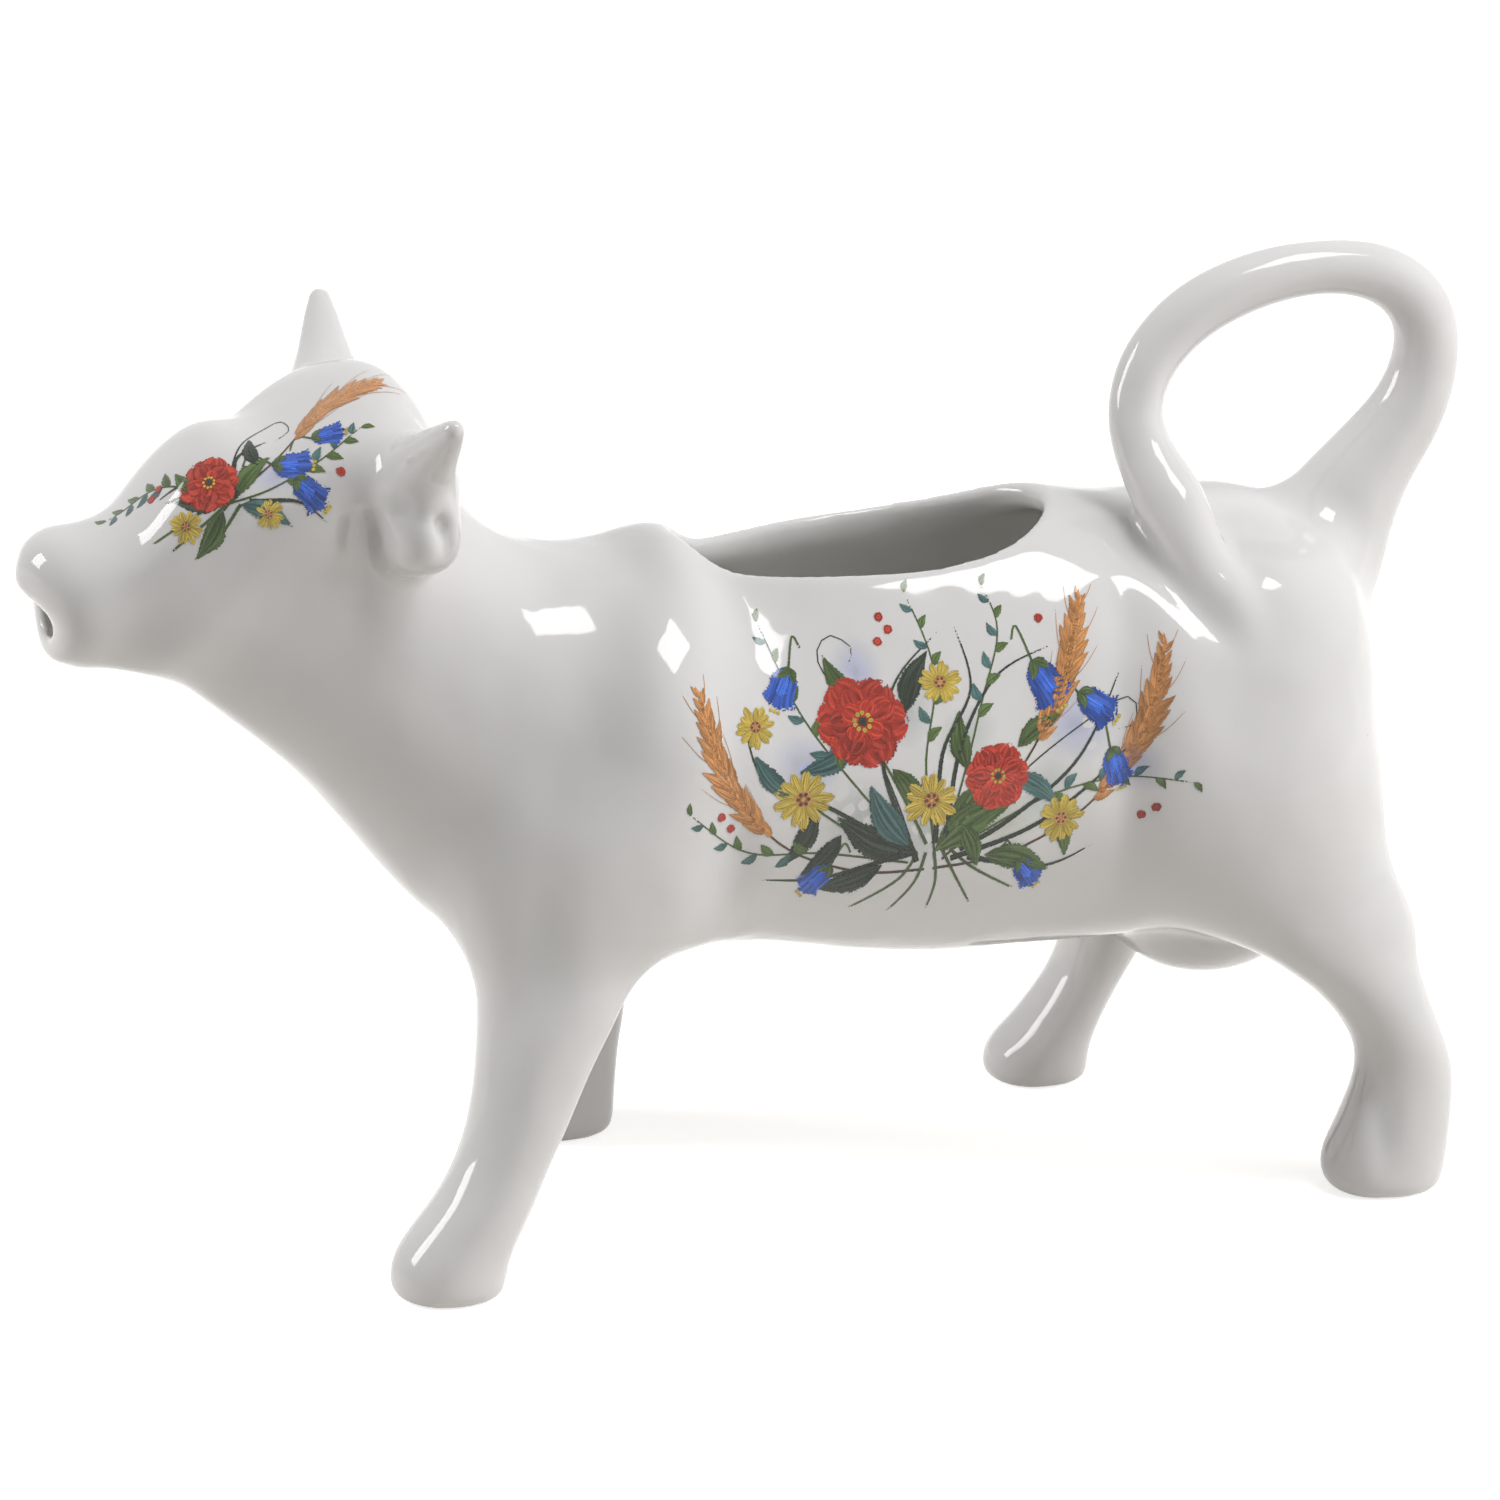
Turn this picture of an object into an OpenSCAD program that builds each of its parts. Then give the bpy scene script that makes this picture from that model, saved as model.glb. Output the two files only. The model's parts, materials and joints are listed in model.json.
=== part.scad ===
// Cow creamer: a porcelain milk jug in the shape of a walking cow.
// It fills through the hole in the back, pours through the mouth, and the looped tail is the handle.
// The head points to -X, the left flank to -Y, and the hooves stand on z = 0.

/* [Body] */
// Length of the trunk, from the front of the breast to the rump
trunk_len = 109; // [100:1:118]
// Greatest width of the trunk
trunk_w = 50; // [46:1:56]
// Height of the back above the table
back_h = 79; // [74:1:86]
// Height of the belly above the table
belly_h = 26; // [22:1:30]
// Thickness of the porcelain
wall = 3; // [2:0.5:3.5]

/* [Filling hole] */
// Length of the hole in the back
hole_len = 43; // [36:1:45]
// Width of the hole in the back
hole_w = 22.5; // [16:0.5:26]

/* [Head] */
// Length of the neck and head ahead of the breast line
head_len = 51; // [46:1:58]
// Height of the poll above the table
poll_h = 101; // [97:1:106]
// Width of the head across the brow
brow_w = 29; // [26:1:33]
// Width of the spout inside the mouth
spout_w = 6.5; // [5:0.5:8]
// Height of the spout inside the mouth
spout_h = 5.75; // [4.5:0.25:6.5]
// Depth of the notch between nose and chin that the spout opens into
mouth_notch_d = 3; // [2:0.25:3.5]

/* [Legs] */
// Height of the legs up to the flank, above which their roots round off inside the trunk
leg_h = 46; // [42:1:48]
// Distance between the left and the right hooves, centre to centre
stance_w = 47; // [42:1:50]
// Length of a hoof along the body
hoof_len = 13.5; // [11:0.5:15]
// Width of a hoof
hoof_w = 12.5; // [10:0.5:14]
// Place of the left front hoof, ahead of the front of the breast
front_left_lead = 6.5; // [3:0.5:9]
// Place of the right front hoof, behind the front of the breast
front_right_lag = 19.5; // [16:0.5:23]
// Place of the left rear hoof, ahead of the rump
rear_left_inset = 4.5; // [2:0.5:8]
// Place of the right rear hoof, ahead of the rump
rear_right_inset = 30; // [26:0.5:33]

/* [Udder] */
// Length of the udder
udder_len = 27; // [22:1:30]
// Width of the udder
udder_w = 24; // [20:1:28]
// Depth of the udder below the belly
udder_drop = 6; // [4:0.5:8]

/* [Tail] */
// Length of the tail's loop along the body, between the middles of its limbs
loop_len = 36; // [32:1:40]
// Height of the tail's loop above the back
loop_h = 27; // [23:1:31]
// Thickness of the tail
tail_d = 6.8; // [6:0.1:8]

/* [Horns and ears] */
// Length of a horn outside the head
horn_len = 15; // [11:0.5:17]
// Thickness of a horn at its root
horn_d = 12; // [9:0.5:13]
// Distance between the tips of the horns
horn_span = 58; // [50:1:62]
// Angle at which the horns rise
horn_rise = 36; // [25:1:45]
// Length of an ear, from inside the head to its tip
ear_len = 13; // [11:0.5:15]
// Width of an ear, front to back
ear_w = 9; // [7:0.5:10]
// Height of an ear
ear_h = 13; // [10:0.5:15]
// Depth of the hollow in an ear
ear_cup_d = 1.4; // [0.8:0.1:2]

/* [Hidden] */

glaze = "white";

// Points around a section, and rings between two stations of the outer skin
skin_sides = 24;
skin_steps = 2;
limb_sides = 18;
tail_sides = 14;
tail_steps = 2;

// The skin of the trunk, neck and head is one form through upright rings at the rump and rings that
// lean over more and more towards the head. A row holds the place and height of the ring's top, the
// place and height of its bottom, its half width, the height of its widest line, its squareness, and
// how far its sides are drawn in towards the top, as round the hole.
// Trunk: places along its length from the breast, heights between the belly and the back.
trunk_shares = [
    [0.985, 0.64, 0.985, 0.52, 0.05, 0.5, 2, 0],
    [0.978, 0.78, 0.978, 0.34, 0.46, 0.5, 2.1, 0],
    [0.960, 0.87, 0.960, 0.18, 0.71, 0.5, 2.2, 0],
    [0.928, 0.92, 0.928, 0.10, 0.87, 0.5, 2.3, 0],
    [0.875, 0.955, 0.875, 0.05, 0.98, 0.5, 2.3, 0],
    [0.810, 0.965, 0.810, 0.03, 1.00, 0.48, 2.3, 0],
    [0.730, 0.975, 0.730, 0.02, 0.955, 0.46, 2.2, 0.04],
    [0.650, 1.008, 0.650, 0.015, 0.95, 0.45, 2.1, 0.1],
    [0.587, 1.032, 0.587, 0.018, 0.965, 0.43, 2.05, 0.17],
    [0.510, 1.070, 0.510, 0.02, 0.98, 0.415, 2, 0.28],
    [0.418, 1.067, 0.418, 0.045, 0.975, 0.415, 2, 0.40],
    [0.325, 0.998, 0.320, 0.085, 0.935, 0.45, 2, 0.40],
    [0.280, 0.966, 0.264, 0.092, 0.945, 0.463, 2.05, 0.32],
    [0.236, 1.006, 0.209, 0.10, 0.955, 0.475, 2.1, 0.22],
    [0.191, 0.972, 0.118, 0.09, 0.945, 0.48, 2.3, 0.06],
    [0.155, 0.970, 0.042, 0.11, 0.88, 0.48, 2.3, 0],
];
// Head: places ahead of the breast line, heights between the belly and the poll.
head_shares = [
    [-0.260, 0.692, 0.060, 0.152, 1.36, 0.48, 2.3, 0],
    [-0.180, 0.707, 0.187, 0.255, 1.20, 0.48, 2.2, 0],
    [-0.100, 0.737, 0.320, 0.372, 1.07, 0.48, 2.2, 0],
    [-0.030, 0.790, 0.434, 0.446, 0.98, 0.5, 2.2, 0],
    [0.008, 0.859, 0.524, 0.498, 0.95, 0.55, 2.2, 0],
    [0.062, 0.944, 0.594, 0.538, 0.98, 0.62, 2.2, 0],
    [0.150, 1.000, 0.648, 0.556, 1.00, 0.66, 2.3, 0],
    [0.275, 0.979, 0.688, 0.567, 0.95, 0.66, 2.5, 0],
    [0.405, 0.923, 0.724, 0.574, 0.85, 0.64, 2.5, 0],
    [0.520, 0.930, 0.762, 0.579, 0.74, 0.60, 2.4, 0],
    [0.620, 0.887, 0.800, 0.583, 0.66, 0.55, 2.3, 0],
    [0.710, 0.815, 0.836, 0.588, 0.63, 0.52, 2.3, 0],
    [0.800, 0.793, 0.860, 0.598, 0.62, 0.5, 2.3, 0],
    [0.880, 0.792, 0.889, 0.606, 0.54, 0.54, 2.2, 0],
    [0.940, 0.768, 0.898, 0.628, 0.34, 0.56, 2, 0],
    [0.959, 0.724, 0.903, 0.664, 0.10, 0.56, 2, 0],
];
// Legs: height, place along the body from the hoof, both as shares of the leg's height, half length
// and half width as shares of the hoof's, and place out from the middle as a share of the hoof's.
front_left_shares = [
    [0, -0.009, 0.83, 0.92, 1], [0.02, -0.013, 0.94, 0.99, 1], [0.08, -0.003, 0.96, 1.01, 0.99],
    [0.14, 0.030, 0.92, 0.99, 0.98], [0.22, 0.085, 0.83, 0.94, 0.97], [0.30, 0.132, 0.78, 0.92, 0.94],
    [0.39, 0.177, 0.82, 0.95, 0.91], [0.48, 0.213, 0.90, 1.02, 0.87], [0.57, 0.249, 1.02, 1.14, 0.82],
    [0.65, 0.292, 1.22, 1.28, 0.76], [0.73, 0.345, 1.52, 1.36, 0.71], [0.85, 0.385, 1.74, 1.45, 0.66],
    [1, 0.40, 1.66, 1.47, 0.62], [1.12, 0.41, 1.35, 1.34, 0.58], [1.19, 0.42, 0.9, 0.9, 0.5],
];
front_right_shares = [
    [0, 0.004, 0.92, 0.92, 1], [0.02, 0.004, 1.0, 0.99, 1], [0.08, 0.003, 1.02, 1.01, 0.99],
    [0.14, 0.01, 0.99, 0.99, 0.98], [0.22, 0.026, 0.92, 0.95, 0.97], [0.30, 0.044, 0.85, 0.93, 0.94],
    [0.39, 0.052, 0.84, 0.95, 0.91], [0.48, 0.046, 0.94, 1.02, 0.87], [0.57, 0.035, 1.12, 1.14, 0.82],
    [0.65, 0.02, 1.34, 1.28, 0.76], [0.73, 0, 1.52, 1.36, 0.71], [0.85, -0.04, 1.68, 1.45, 0.66],
    [1, -0.08, 1.62, 1.47, 0.62], [1.12, -0.10, 1.35, 1.34, 0.58], [1.19, -0.11, 0.9, 0.9, 0.5],
];
rear_left_shares = [
    [0, 0.004, 0.86, 0.92, 1], [0.02, -0.002, 1.0, 0.99, 1], [0.08, 0.002, 1.07, 1.01, 0.99],
    [0.14, 0.021, 1.0, 0.99, 0.98], [0.22, 0.045, 0.90, 0.94, 0.97], [0.29, 0.057, 0.82, 0.9, 0.96],
    [0.36, 0.048, 0.78, 0.9, 0.95], [0.43, 0.018, 0.81, 0.95, 0.93], [0.51, -0.027, 0.95, 1.04, 0.90],
    [0.58, -0.080, 1.20, 1.17, 0.86], [0.66, -0.130, 1.58, 1.31, 0.81], [0.76, -0.197, 1.80, 1.40, 0.77],
    [0.88, -0.26, 1.84, 1.47, 0.73], [1, -0.295, 1.82, 1.48, 0.69], [1.12, -0.325, 1.55, 1.40, 0.65],
    [1.20, -0.34, 0.95, 0.9, 0.58],
];
rear_right_shares = [
    [0, 0, 0.82, 0.92, 1], [0.02, -0.004, 0.89, 0.99, 1], [0.08, 0.002, 0.88, 1.01, 0.99],
    [0.14, 0.040, 0.74, 0.98, 0.98], [0.20, 0.078, 0.67, 0.92, 0.97], [0.27, 0.121, 0.64, 0.88, 0.96],
    [0.34, 0.156, 0.69, 0.89, 0.95], [0.42, 0.188, 0.79, 0.94, 0.93], [0.51, 0.225, 1.02, 1.02, 0.90],
    [0.60, 0.26, 1.32, 1.2, 0.85], [0.70, 0.285, 1.58, 1.34, 0.80], [0.82, 0.30, 1.70, 1.44, 0.75],
    [1, 0.30, 1.66, 1.48, 0.69], [1.12, 0.28, 1.4, 1.40, 0.65], [1.20, 0.26, 0.9, 0.9, 0.58],
];
leg_squareness_share = 2.2;
// Tail: place along the loop, place out from the middle as a share of half the trunk's width,
// height of the loop's middle line above the back, and thickness.
tail_shares = [
    [0.55, 0, -0.74, 2.0], [0.63, 0, -0.46, 2.15], [0.70, 0, -0.22, 1.92], [0.80, 0, 0.0, 1.52],
    [0.928, 0, 0.255, 1.26], [0.984, 0, 0.53, 1.12], [0.955, 0, 0.77, 1.06], [0.825, 0, 0.94, 0.98],
    [0.63, 0, 1, 0.9], [0.405, 0, 0.965, 0.95], [0.187, -0.01, 0.835, 0.98], [0.035, -0.04, 0.62, 0.94],
    [-0.024, -0.1, 0.385, 0.92], [-0.008, -0.2, 0.19, 1.02], [0.034, -0.36, 0.01, 1.2],
    [0.07, -0.53, -0.21, 1.08], [0.14, -0.66, -0.42, 1.05], [0.21, -0.72, -0.63, 0.9],
];
hole_taper_share = 0.25;

// Where the forms stand on each other
fore_share = 0.33;
breast_x = -fore_share * trunk_len;
rump_x = breast_x + trunk_len;
trunk_rise = back_h - belly_h;
head_rise = poll_h - belly_h;
hole_x = breast_x + 0.447 * trunk_len;
loop_x = breast_x + 0.75 * trunk_len;
udder_x = breast_x + 0.835 * trunk_len;
mouth_h = belly_h + 0.665 * head_rise;
muzzle_x = breast_x - 0.957 * head_len;
notch_z = belly_h + 0.675 * head_rise;
horn_x = breast_x - 0.122 * head_len;
// The left horn sits a little lower than the right one and points less to the rear
left_horn_sweep = 6;
right_horn_sweep = 12;
left_horn_drop = 0.6;
horn_tip_r = 0.11 * horn_d;
ear_x = breast_x - 0.145 * head_len;
ear_z = belly_h + 0.825 * head_rise;
ear_tilt = 18;

// Rows of the tables in real sizes
function trunk_station(row) = [
    breast_x + row[0] * trunk_len, belly_h + row[1] * trunk_rise,
    breast_x + row[2] * trunk_len, belly_h + row[3] * trunk_rise,
    row[4] * trunk_w / 2, row[5], row[6], row[7],
];
function head_station(row) = [
    breast_x - row[0] * head_len, belly_h + row[1] * head_rise,
    breast_x - row[2] * head_len, belly_h + row[3] * head_rise,
    row[4] * brow_w / 2, row[5], row[6], row[7],
];
function tail_station(row) = [
    loop_x + row[0] * loop_len,
    row[1] * trunk_w / 2,
    back_h + row[2] * (loop_h - tail_d / 2),
    row[3] * tail_d / 2,
];
stations = concat(
    [for (row = trunk_shares) trunk_station(row)],
    [for (row = head_shares) head_station(row)]
);
tail_stations = [for (row = tail_shares) tail_station(row)];
// The trunk and the head meet at the trunk's last ring
seam = len(trunk_shares) - 1;
nose = len(stations) - 1;

// Smooth curve through the rows of a table, at any place between two of them
function row_at(table, i) = table[max(0, min(len(table) - 1, i))];
function curve(a, b, c, d, t) =
    0.5 * (2 * b + (c - a) * t + (2 * a - 5 * b + 4 * c - d) * t * t
        + (3 * b - a - 3 * c + d) * t * t * t);
function station_at(table, u) =
    let (i = max(0, min(len(table) - 2, floor(u))), t = u - i)
    curve(row_at(table, i - 1), row_at(table, i), row_at(table, i + 1), row_at(table, i + 2), t);

// One section of the skin: an egg whose upper and lower halves are parts of superellipses
function power(v, n) = sign(v) * pow(abs(v), n);
function egg_ring(s, inset) =
    let (
        top = [s[0], 0, s[1]],
        bottom = [s[2], 0, s[3]],
        up = (top - bottom) / norm(top - bottom),
        tall = norm(top - bottom) - 2 * inset,
        middle = bottom + up * (inset + tall * s[5]),
        half = s[4] - inset
    )
    [for (k = [0 : skin_sides - 1])
        let (
            a = 360 * (k + 0.5) / skin_sides,
            above = max(0, sin(a)),
            lift = power(sin(a), 2 / s[6]) * tall * (sin(a) > 0 ? 1 - s[5] : s[5]),
            out = power(cos(a), 2 / s[6]) * half * (1 - s[7] * above * above)
        )
        middle + up * lift + [0, out, 0]
    ];

// Closed solid through a list of rings with equal numbers of points
module loft(rings) {
    n = len(rings[0]);
    last = len(rings) - 1;
    sides = [for (i = [0 : last - 1], k = [0 : n - 1])
        each [
            [i * n + k, (i + 1) * n + (k + 1) % n, (i + 1) * n + k],
            [i * n + k, i * n + (k + 1) % n, (i + 1) * n + (k + 1) % n],
        ]
    ];
    start_cap = [for (k = [n - 1 : -1 : 0]) k];
    end_cap = [for (k = [0 : n - 1]) last * n + k];
    polyhedron(points = [for (r = rings) each r], faces = concat(sides, [start_cap, end_cap]));
}

// A stretch of the outer skin between two of its stations
module skin(from, to) {
    loft([for (j = [0 : (to - from) * skin_steps])
        egg_ring(station_at(stations, from + j / skin_steps), 0)]);
}

// The cavity, one wall inside the skin: towards the rump its rings move forwards instead of inwards
rump_cap_shares = [1, 0.95, 0.85, 0.65, 0.4, 0.15, 0];
module cavity(places) {
    loft([for (u = places)
        let (back = station_at(rump_cap_shares, min(u, len(rump_cap_shares) - 1)))
        [for (p = egg_ring(station_at(stations, u), wall * sqrt(1 - back * back)))
            p - [wall * back, 0, 0]]
    ]);
}

// An oval that is narrower towards one end where it has a taper
function oval(length, width, sides, taper) =
    [for (k = [0 : sides - 1])
        let (a = 360 * k / sides)
        [length / 2 * cos(a), width / 2 * sin(a) * (1 + taper * cos(a))]];

module filling_hole() {
    translate([hole_x, 0, back_h - trunk_rise / 2])
        linear_extrude(trunk_rise)
            polygon(oval(hole_len, hole_w, 2 * skin_sides, hole_taper_share));
}

module spout() {
    translate([muzzle_x + head_len / 3, 0, mouth_h])
        rotate([0, -90, 0])
            linear_extrude(head_len / 2)
                polygon(oval(spout_h, spout_w, skin_sides, 0));
}

module mouth_notch() {
    translate([muzzle_x, 0, notch_z])
        rotate([90, 0, 0])
            cylinder(h = brow_w, r = mouth_notch_d, center = true, $fn = 40);
}

module leg(table, hoof_x, side) {
    loft([for (row = table)
        [for (k = [0 : limb_sides - 1])
            let (a = -360 * k / limb_sides)
            [
                hoof_x + row[1] * leg_h
                    + power(cos(a), 2 / leg_squareness_share) * row[2] * hoof_len / 2,
                side * row[4] * stance_w / 2
                    + power(sin(a), 2 / leg_squareness_share) * row[3] * hoof_w / 2,
                row[0] * leg_h,
            ]
        ]
    ]);
}

// A rounded lump: rings of a sphere about its upright axis, stretched to its three sizes
module lump(length, width, height, rings, sides) {
    loft([for (i = [0 : rings])
        let (b = -89 + 178 * i / rings)
        [for (k = [0 : sides - 1])
            let (a = 360 * k / sides)
            [length / 2 * cos(b) * cos(a), -width / 2 * cos(b) * sin(a), height / 2 * sin(b)]
        ]
    ]);
}

module udder_form() {
    translate([udder_x, 0, belly_h + udder_w / 2 - udder_drop])
        lump(udder_len, udder_w, udder_w, 10, limb_sides);
}

module tail_form() {
    count = (len(tail_stations) - 1) * tail_steps;
    path = [for (j = [0 : count]) station_at(tail_stations, j / tail_steps)];
    function at(j) = let (p = path[max(0, min(count, j))]) [p[0], p[1], p[2]];
    loft([for (j = [0 : count])
        let (
            ahead = at(j + 1) - at(j - 1),
            way = ahead / norm(ahead),
            across = cross(way, [0, 1, 0]),
            first = across / norm(across),
            second = cross(way, first)
        )
        [for (k = [0 : tail_sides - 1])
            let (a = -360 * k / tail_sides)
            at(j) + path[j][3] * (cos(a) * first + sin(a) * second)]
    ]);
}

function horn_profile() = concat(
    [
        [0, 0], [horn_d * 0.52, 0], [horn_d * 0.42, wall], [horn_d * 0.32, wall + horn_len * 0.2],
        [horn_d * 0.235, wall + horn_len * 0.45], [horn_d * 0.175, wall + horn_len * 0.7],
    ],
    [for (a = [0 : 18 : 90])
        [horn_tip_r * cos(a), wall + horn_len - horn_tip_r + horn_tip_r * sin(a)]]
);
module horn_form(side) {
    sweep = side < 0 ? left_horn_sweep : right_horn_sweep;
    drop = side < 0 ? left_horn_drop : 0;
    translate([horn_x, side * (horn_span / 2 - horn_tip_r), poll_h + horn_tip_r - drop])
        rotate([0, 0, side * (90 - sweep)])
            rotate([0, 90 - horn_rise, 0])
                translate([0, 0, -wall - horn_len])
                    rotate_extrude($fn = 48)
                        polygon(horn_profile());
}

module ear_form(side) {
    translate([ear_x, side * (brow_w / 2 + 0.1 * ear_len), ear_z])
        rotate([side * ear_tilt, 0, 0])
            lump(ear_w, ear_len, ear_h, 9, limb_sides - 2);
}

module ear_cup(side) {
    translate([ear_x + 0.22 * ear_w, side * (brow_w / 2 + 0.53 * ear_len), ear_z + 0.04 * ear_h])
        rotate([side * ear_tilt, 0, 0])
            lump(0.26 * ear_w, 2 * ear_cup_d, 0.56 * ear_h, 8, limb_sides - 6);
}

// The pieces
module trunk_shell() {
    color(glaze) difference() {
        skin(0, seam);
        cavity(concat([1.5], [for (u = [2 : seam]) u], [seam + 0.5]));
        filling_hole();
    }
}

module head_shell() {
    color(glaze) difference() {
        skin(seam, nose);
        cavity(concat([seam - 0.5], [for (u = [seam : nose - 5]) u]));
        spout();
        mouth_notch();
    }
}

module front_left_leg() {
    color(glaze) difference() {
        leg(front_left_shares, breast_x - front_left_lead, -1);
        skin(seam - 4, seam + 3);
    }
}

module front_right_leg() {
    color(glaze) difference() {
        leg(front_right_shares, breast_x + front_right_lag, 1);
        skin(seam - 4, seam + 3);
    }
}

module rear_left_leg() {
    color(glaze) difference() {
        leg(rear_left_shares, rump_x - rear_left_inset, -1);
        skin(1, seam - 7);
        udder_form();
    }
}

module rear_right_leg() {
    color(glaze) difference() {
        leg(rear_right_shares, rump_x - rear_right_inset, 1);
        skin(1, seam - 6);
        udder_form();
    }
}

module udder() {
    color(glaze) difference() {
        udder_form();
        skin(1, seam - 7);
    }
}

module tail_handle() {
    color(glaze) difference() {
        tail_form();
        skin(0, seam - 7);
    }
}

module ear(side) {
    color(glaze) difference() {
        ear_form(side);
        skin(seam + 3, seam + 8);
        ear_cup(side);
    }
}

module horn(side) {
    color(glaze) difference() {
        horn_form(side);
        skin(seam + 4, seam + 8);
        ear_form(side);
    }
}

module left_ear() {
    ear(-1);
}

module right_ear() {
    ear(1);
}

module left_horn() {
    horn(-1);
}

module right_horn() {
    horn(1);
}

trunk_shell();
head_shell();
front_left_leg();
front_right_leg();
rear_left_leg();
rear_right_leg();
udder();
tail_handle();
left_ear();
right_ear();
left_horn();
right_horn();
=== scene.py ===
import functools
import itertools
import json
import math

import bpy
import numpy as np
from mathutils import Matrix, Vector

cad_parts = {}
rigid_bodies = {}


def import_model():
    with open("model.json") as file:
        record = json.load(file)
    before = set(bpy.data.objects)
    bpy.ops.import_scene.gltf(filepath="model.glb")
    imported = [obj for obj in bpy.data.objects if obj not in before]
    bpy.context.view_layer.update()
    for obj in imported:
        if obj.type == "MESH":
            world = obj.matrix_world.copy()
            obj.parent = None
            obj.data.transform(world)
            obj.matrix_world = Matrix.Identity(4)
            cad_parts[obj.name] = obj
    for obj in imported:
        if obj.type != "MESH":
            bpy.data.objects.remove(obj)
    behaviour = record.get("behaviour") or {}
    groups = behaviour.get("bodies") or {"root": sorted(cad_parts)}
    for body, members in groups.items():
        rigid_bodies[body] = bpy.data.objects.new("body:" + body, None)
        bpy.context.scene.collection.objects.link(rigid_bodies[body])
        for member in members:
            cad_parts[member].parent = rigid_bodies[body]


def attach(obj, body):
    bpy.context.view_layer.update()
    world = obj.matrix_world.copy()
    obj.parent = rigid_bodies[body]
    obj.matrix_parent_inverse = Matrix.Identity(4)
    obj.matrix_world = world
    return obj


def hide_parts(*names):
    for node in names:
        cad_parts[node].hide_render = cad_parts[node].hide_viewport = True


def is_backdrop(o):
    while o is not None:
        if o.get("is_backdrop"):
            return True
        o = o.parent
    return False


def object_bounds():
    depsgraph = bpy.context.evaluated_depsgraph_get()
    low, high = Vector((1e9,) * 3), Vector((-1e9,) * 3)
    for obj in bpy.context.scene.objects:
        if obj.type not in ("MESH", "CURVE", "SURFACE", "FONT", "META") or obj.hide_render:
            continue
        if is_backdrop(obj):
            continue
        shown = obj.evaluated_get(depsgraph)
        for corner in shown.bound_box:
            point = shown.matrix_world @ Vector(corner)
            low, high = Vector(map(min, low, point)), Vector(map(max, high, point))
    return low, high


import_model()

import openvdb
from mathutils import Vector

bl_info = {
    "name": "Cow Creamer",
    "version": (1, 0, 0),
    "blender": (4, 5, 0),
    "location": "View3D > Sidebar > Creamer",
    "description": "Shapes, glazes and decorates a porcelain cow creamer",
    "category": "Add Mesh",
}

BODY = "root"
# The solids' box, in metres. The clay fills no more than that.
LOW, HIGH = (np.array(corner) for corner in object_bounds())


def length(name, description, default):
    return bpy.props.FloatProperty(name=name, description=description, default=default,
                                   min=0.0, precision=5, unit="LENGTH")


def share(name, description, default, top=1.0):
    return bpy.props.FloatProperty(name=name, description=description, default=default, min=0.0, max=top)


def tint(name, description, default):
    return bpy.props.FloatVectorProperty(name=name, description=description, default=default,
                                         size=3, min=0.0, max=1.0, subtype="COLOR")


class TrunkSizes(bpy.types.PropertyGroup):
    """Sizes of the hollow trunk and its filling hole"""
    trunk_len: length("Length", "From the front of the breast to the rump", 0.109)
    trunk_w: length("Width", "Greatest width of the trunk", 0.050)
    back_h: length("Back", "Height of the back above the table", 0.079)
    belly_h: length("Belly", "Height of the belly above the table", 0.026)
    wall: length("Wall", "Thickness of the porcelain", 0.003)
    hole_len: length("Hole length", "Length of the filling hole", 0.043)
    hole_w: length("Hole width", "Width of the filling hole", 0.0225)
    rim_round: length("Rim rounding", "Radius of the softened rim", 0.0014)


class HeadSizes(bpy.types.PropertyGroup):
    """Sizes of the neck, head, horns and ears"""
    head_len: length("Length", "From the breast to the nose", 0.051)
    poll_h: length("Poll", "Height of the poll above the table", 0.101)
    brow_w: length("Brow width", "Width of the head across the brow", 0.029)
    spout_w: length("Spout width", "Width of the pouring hole", 0.0065)
    spout_h: length("Spout height", "Height of the pouring hole", 0.00575)
    lip_w: length("Lip width", "Width of the hole between the lips", 0.0018)
    lip_h: length("Lip height", "Height of the hole between the lips", 0.0018)
    notch_r: length("Mouth notch", "Radius of the notch between nose and chin", 0.0027)
    horn_len: length("Horn length", "Length of a horn outside the head", 0.015)
    horn_d: length("Horn root", "Thickness of a horn at its root", 0.012)
    horn_span: length("Horn span", "Distance between the tips of the horns", 0.058)
    ear_len: length("Ear length", "From inside the head to the ear's tip", 0.013)
    ear_w: length("Ear width", "Width of an ear, front to back", 0.009)
    ear_h: length("Ear height", "Height of an ear", 0.013)
    ear_cup_d: length("Ear hollow", "Depth of the hollow in an ear", 0.0014)
    left_horn_drop: length("Left horn drop", "How much lower the left horn sits", 0.0006)
    root_fillet: length("Root fillet", "Clay smoothed in around horns and ears", 0.0030)


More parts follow.
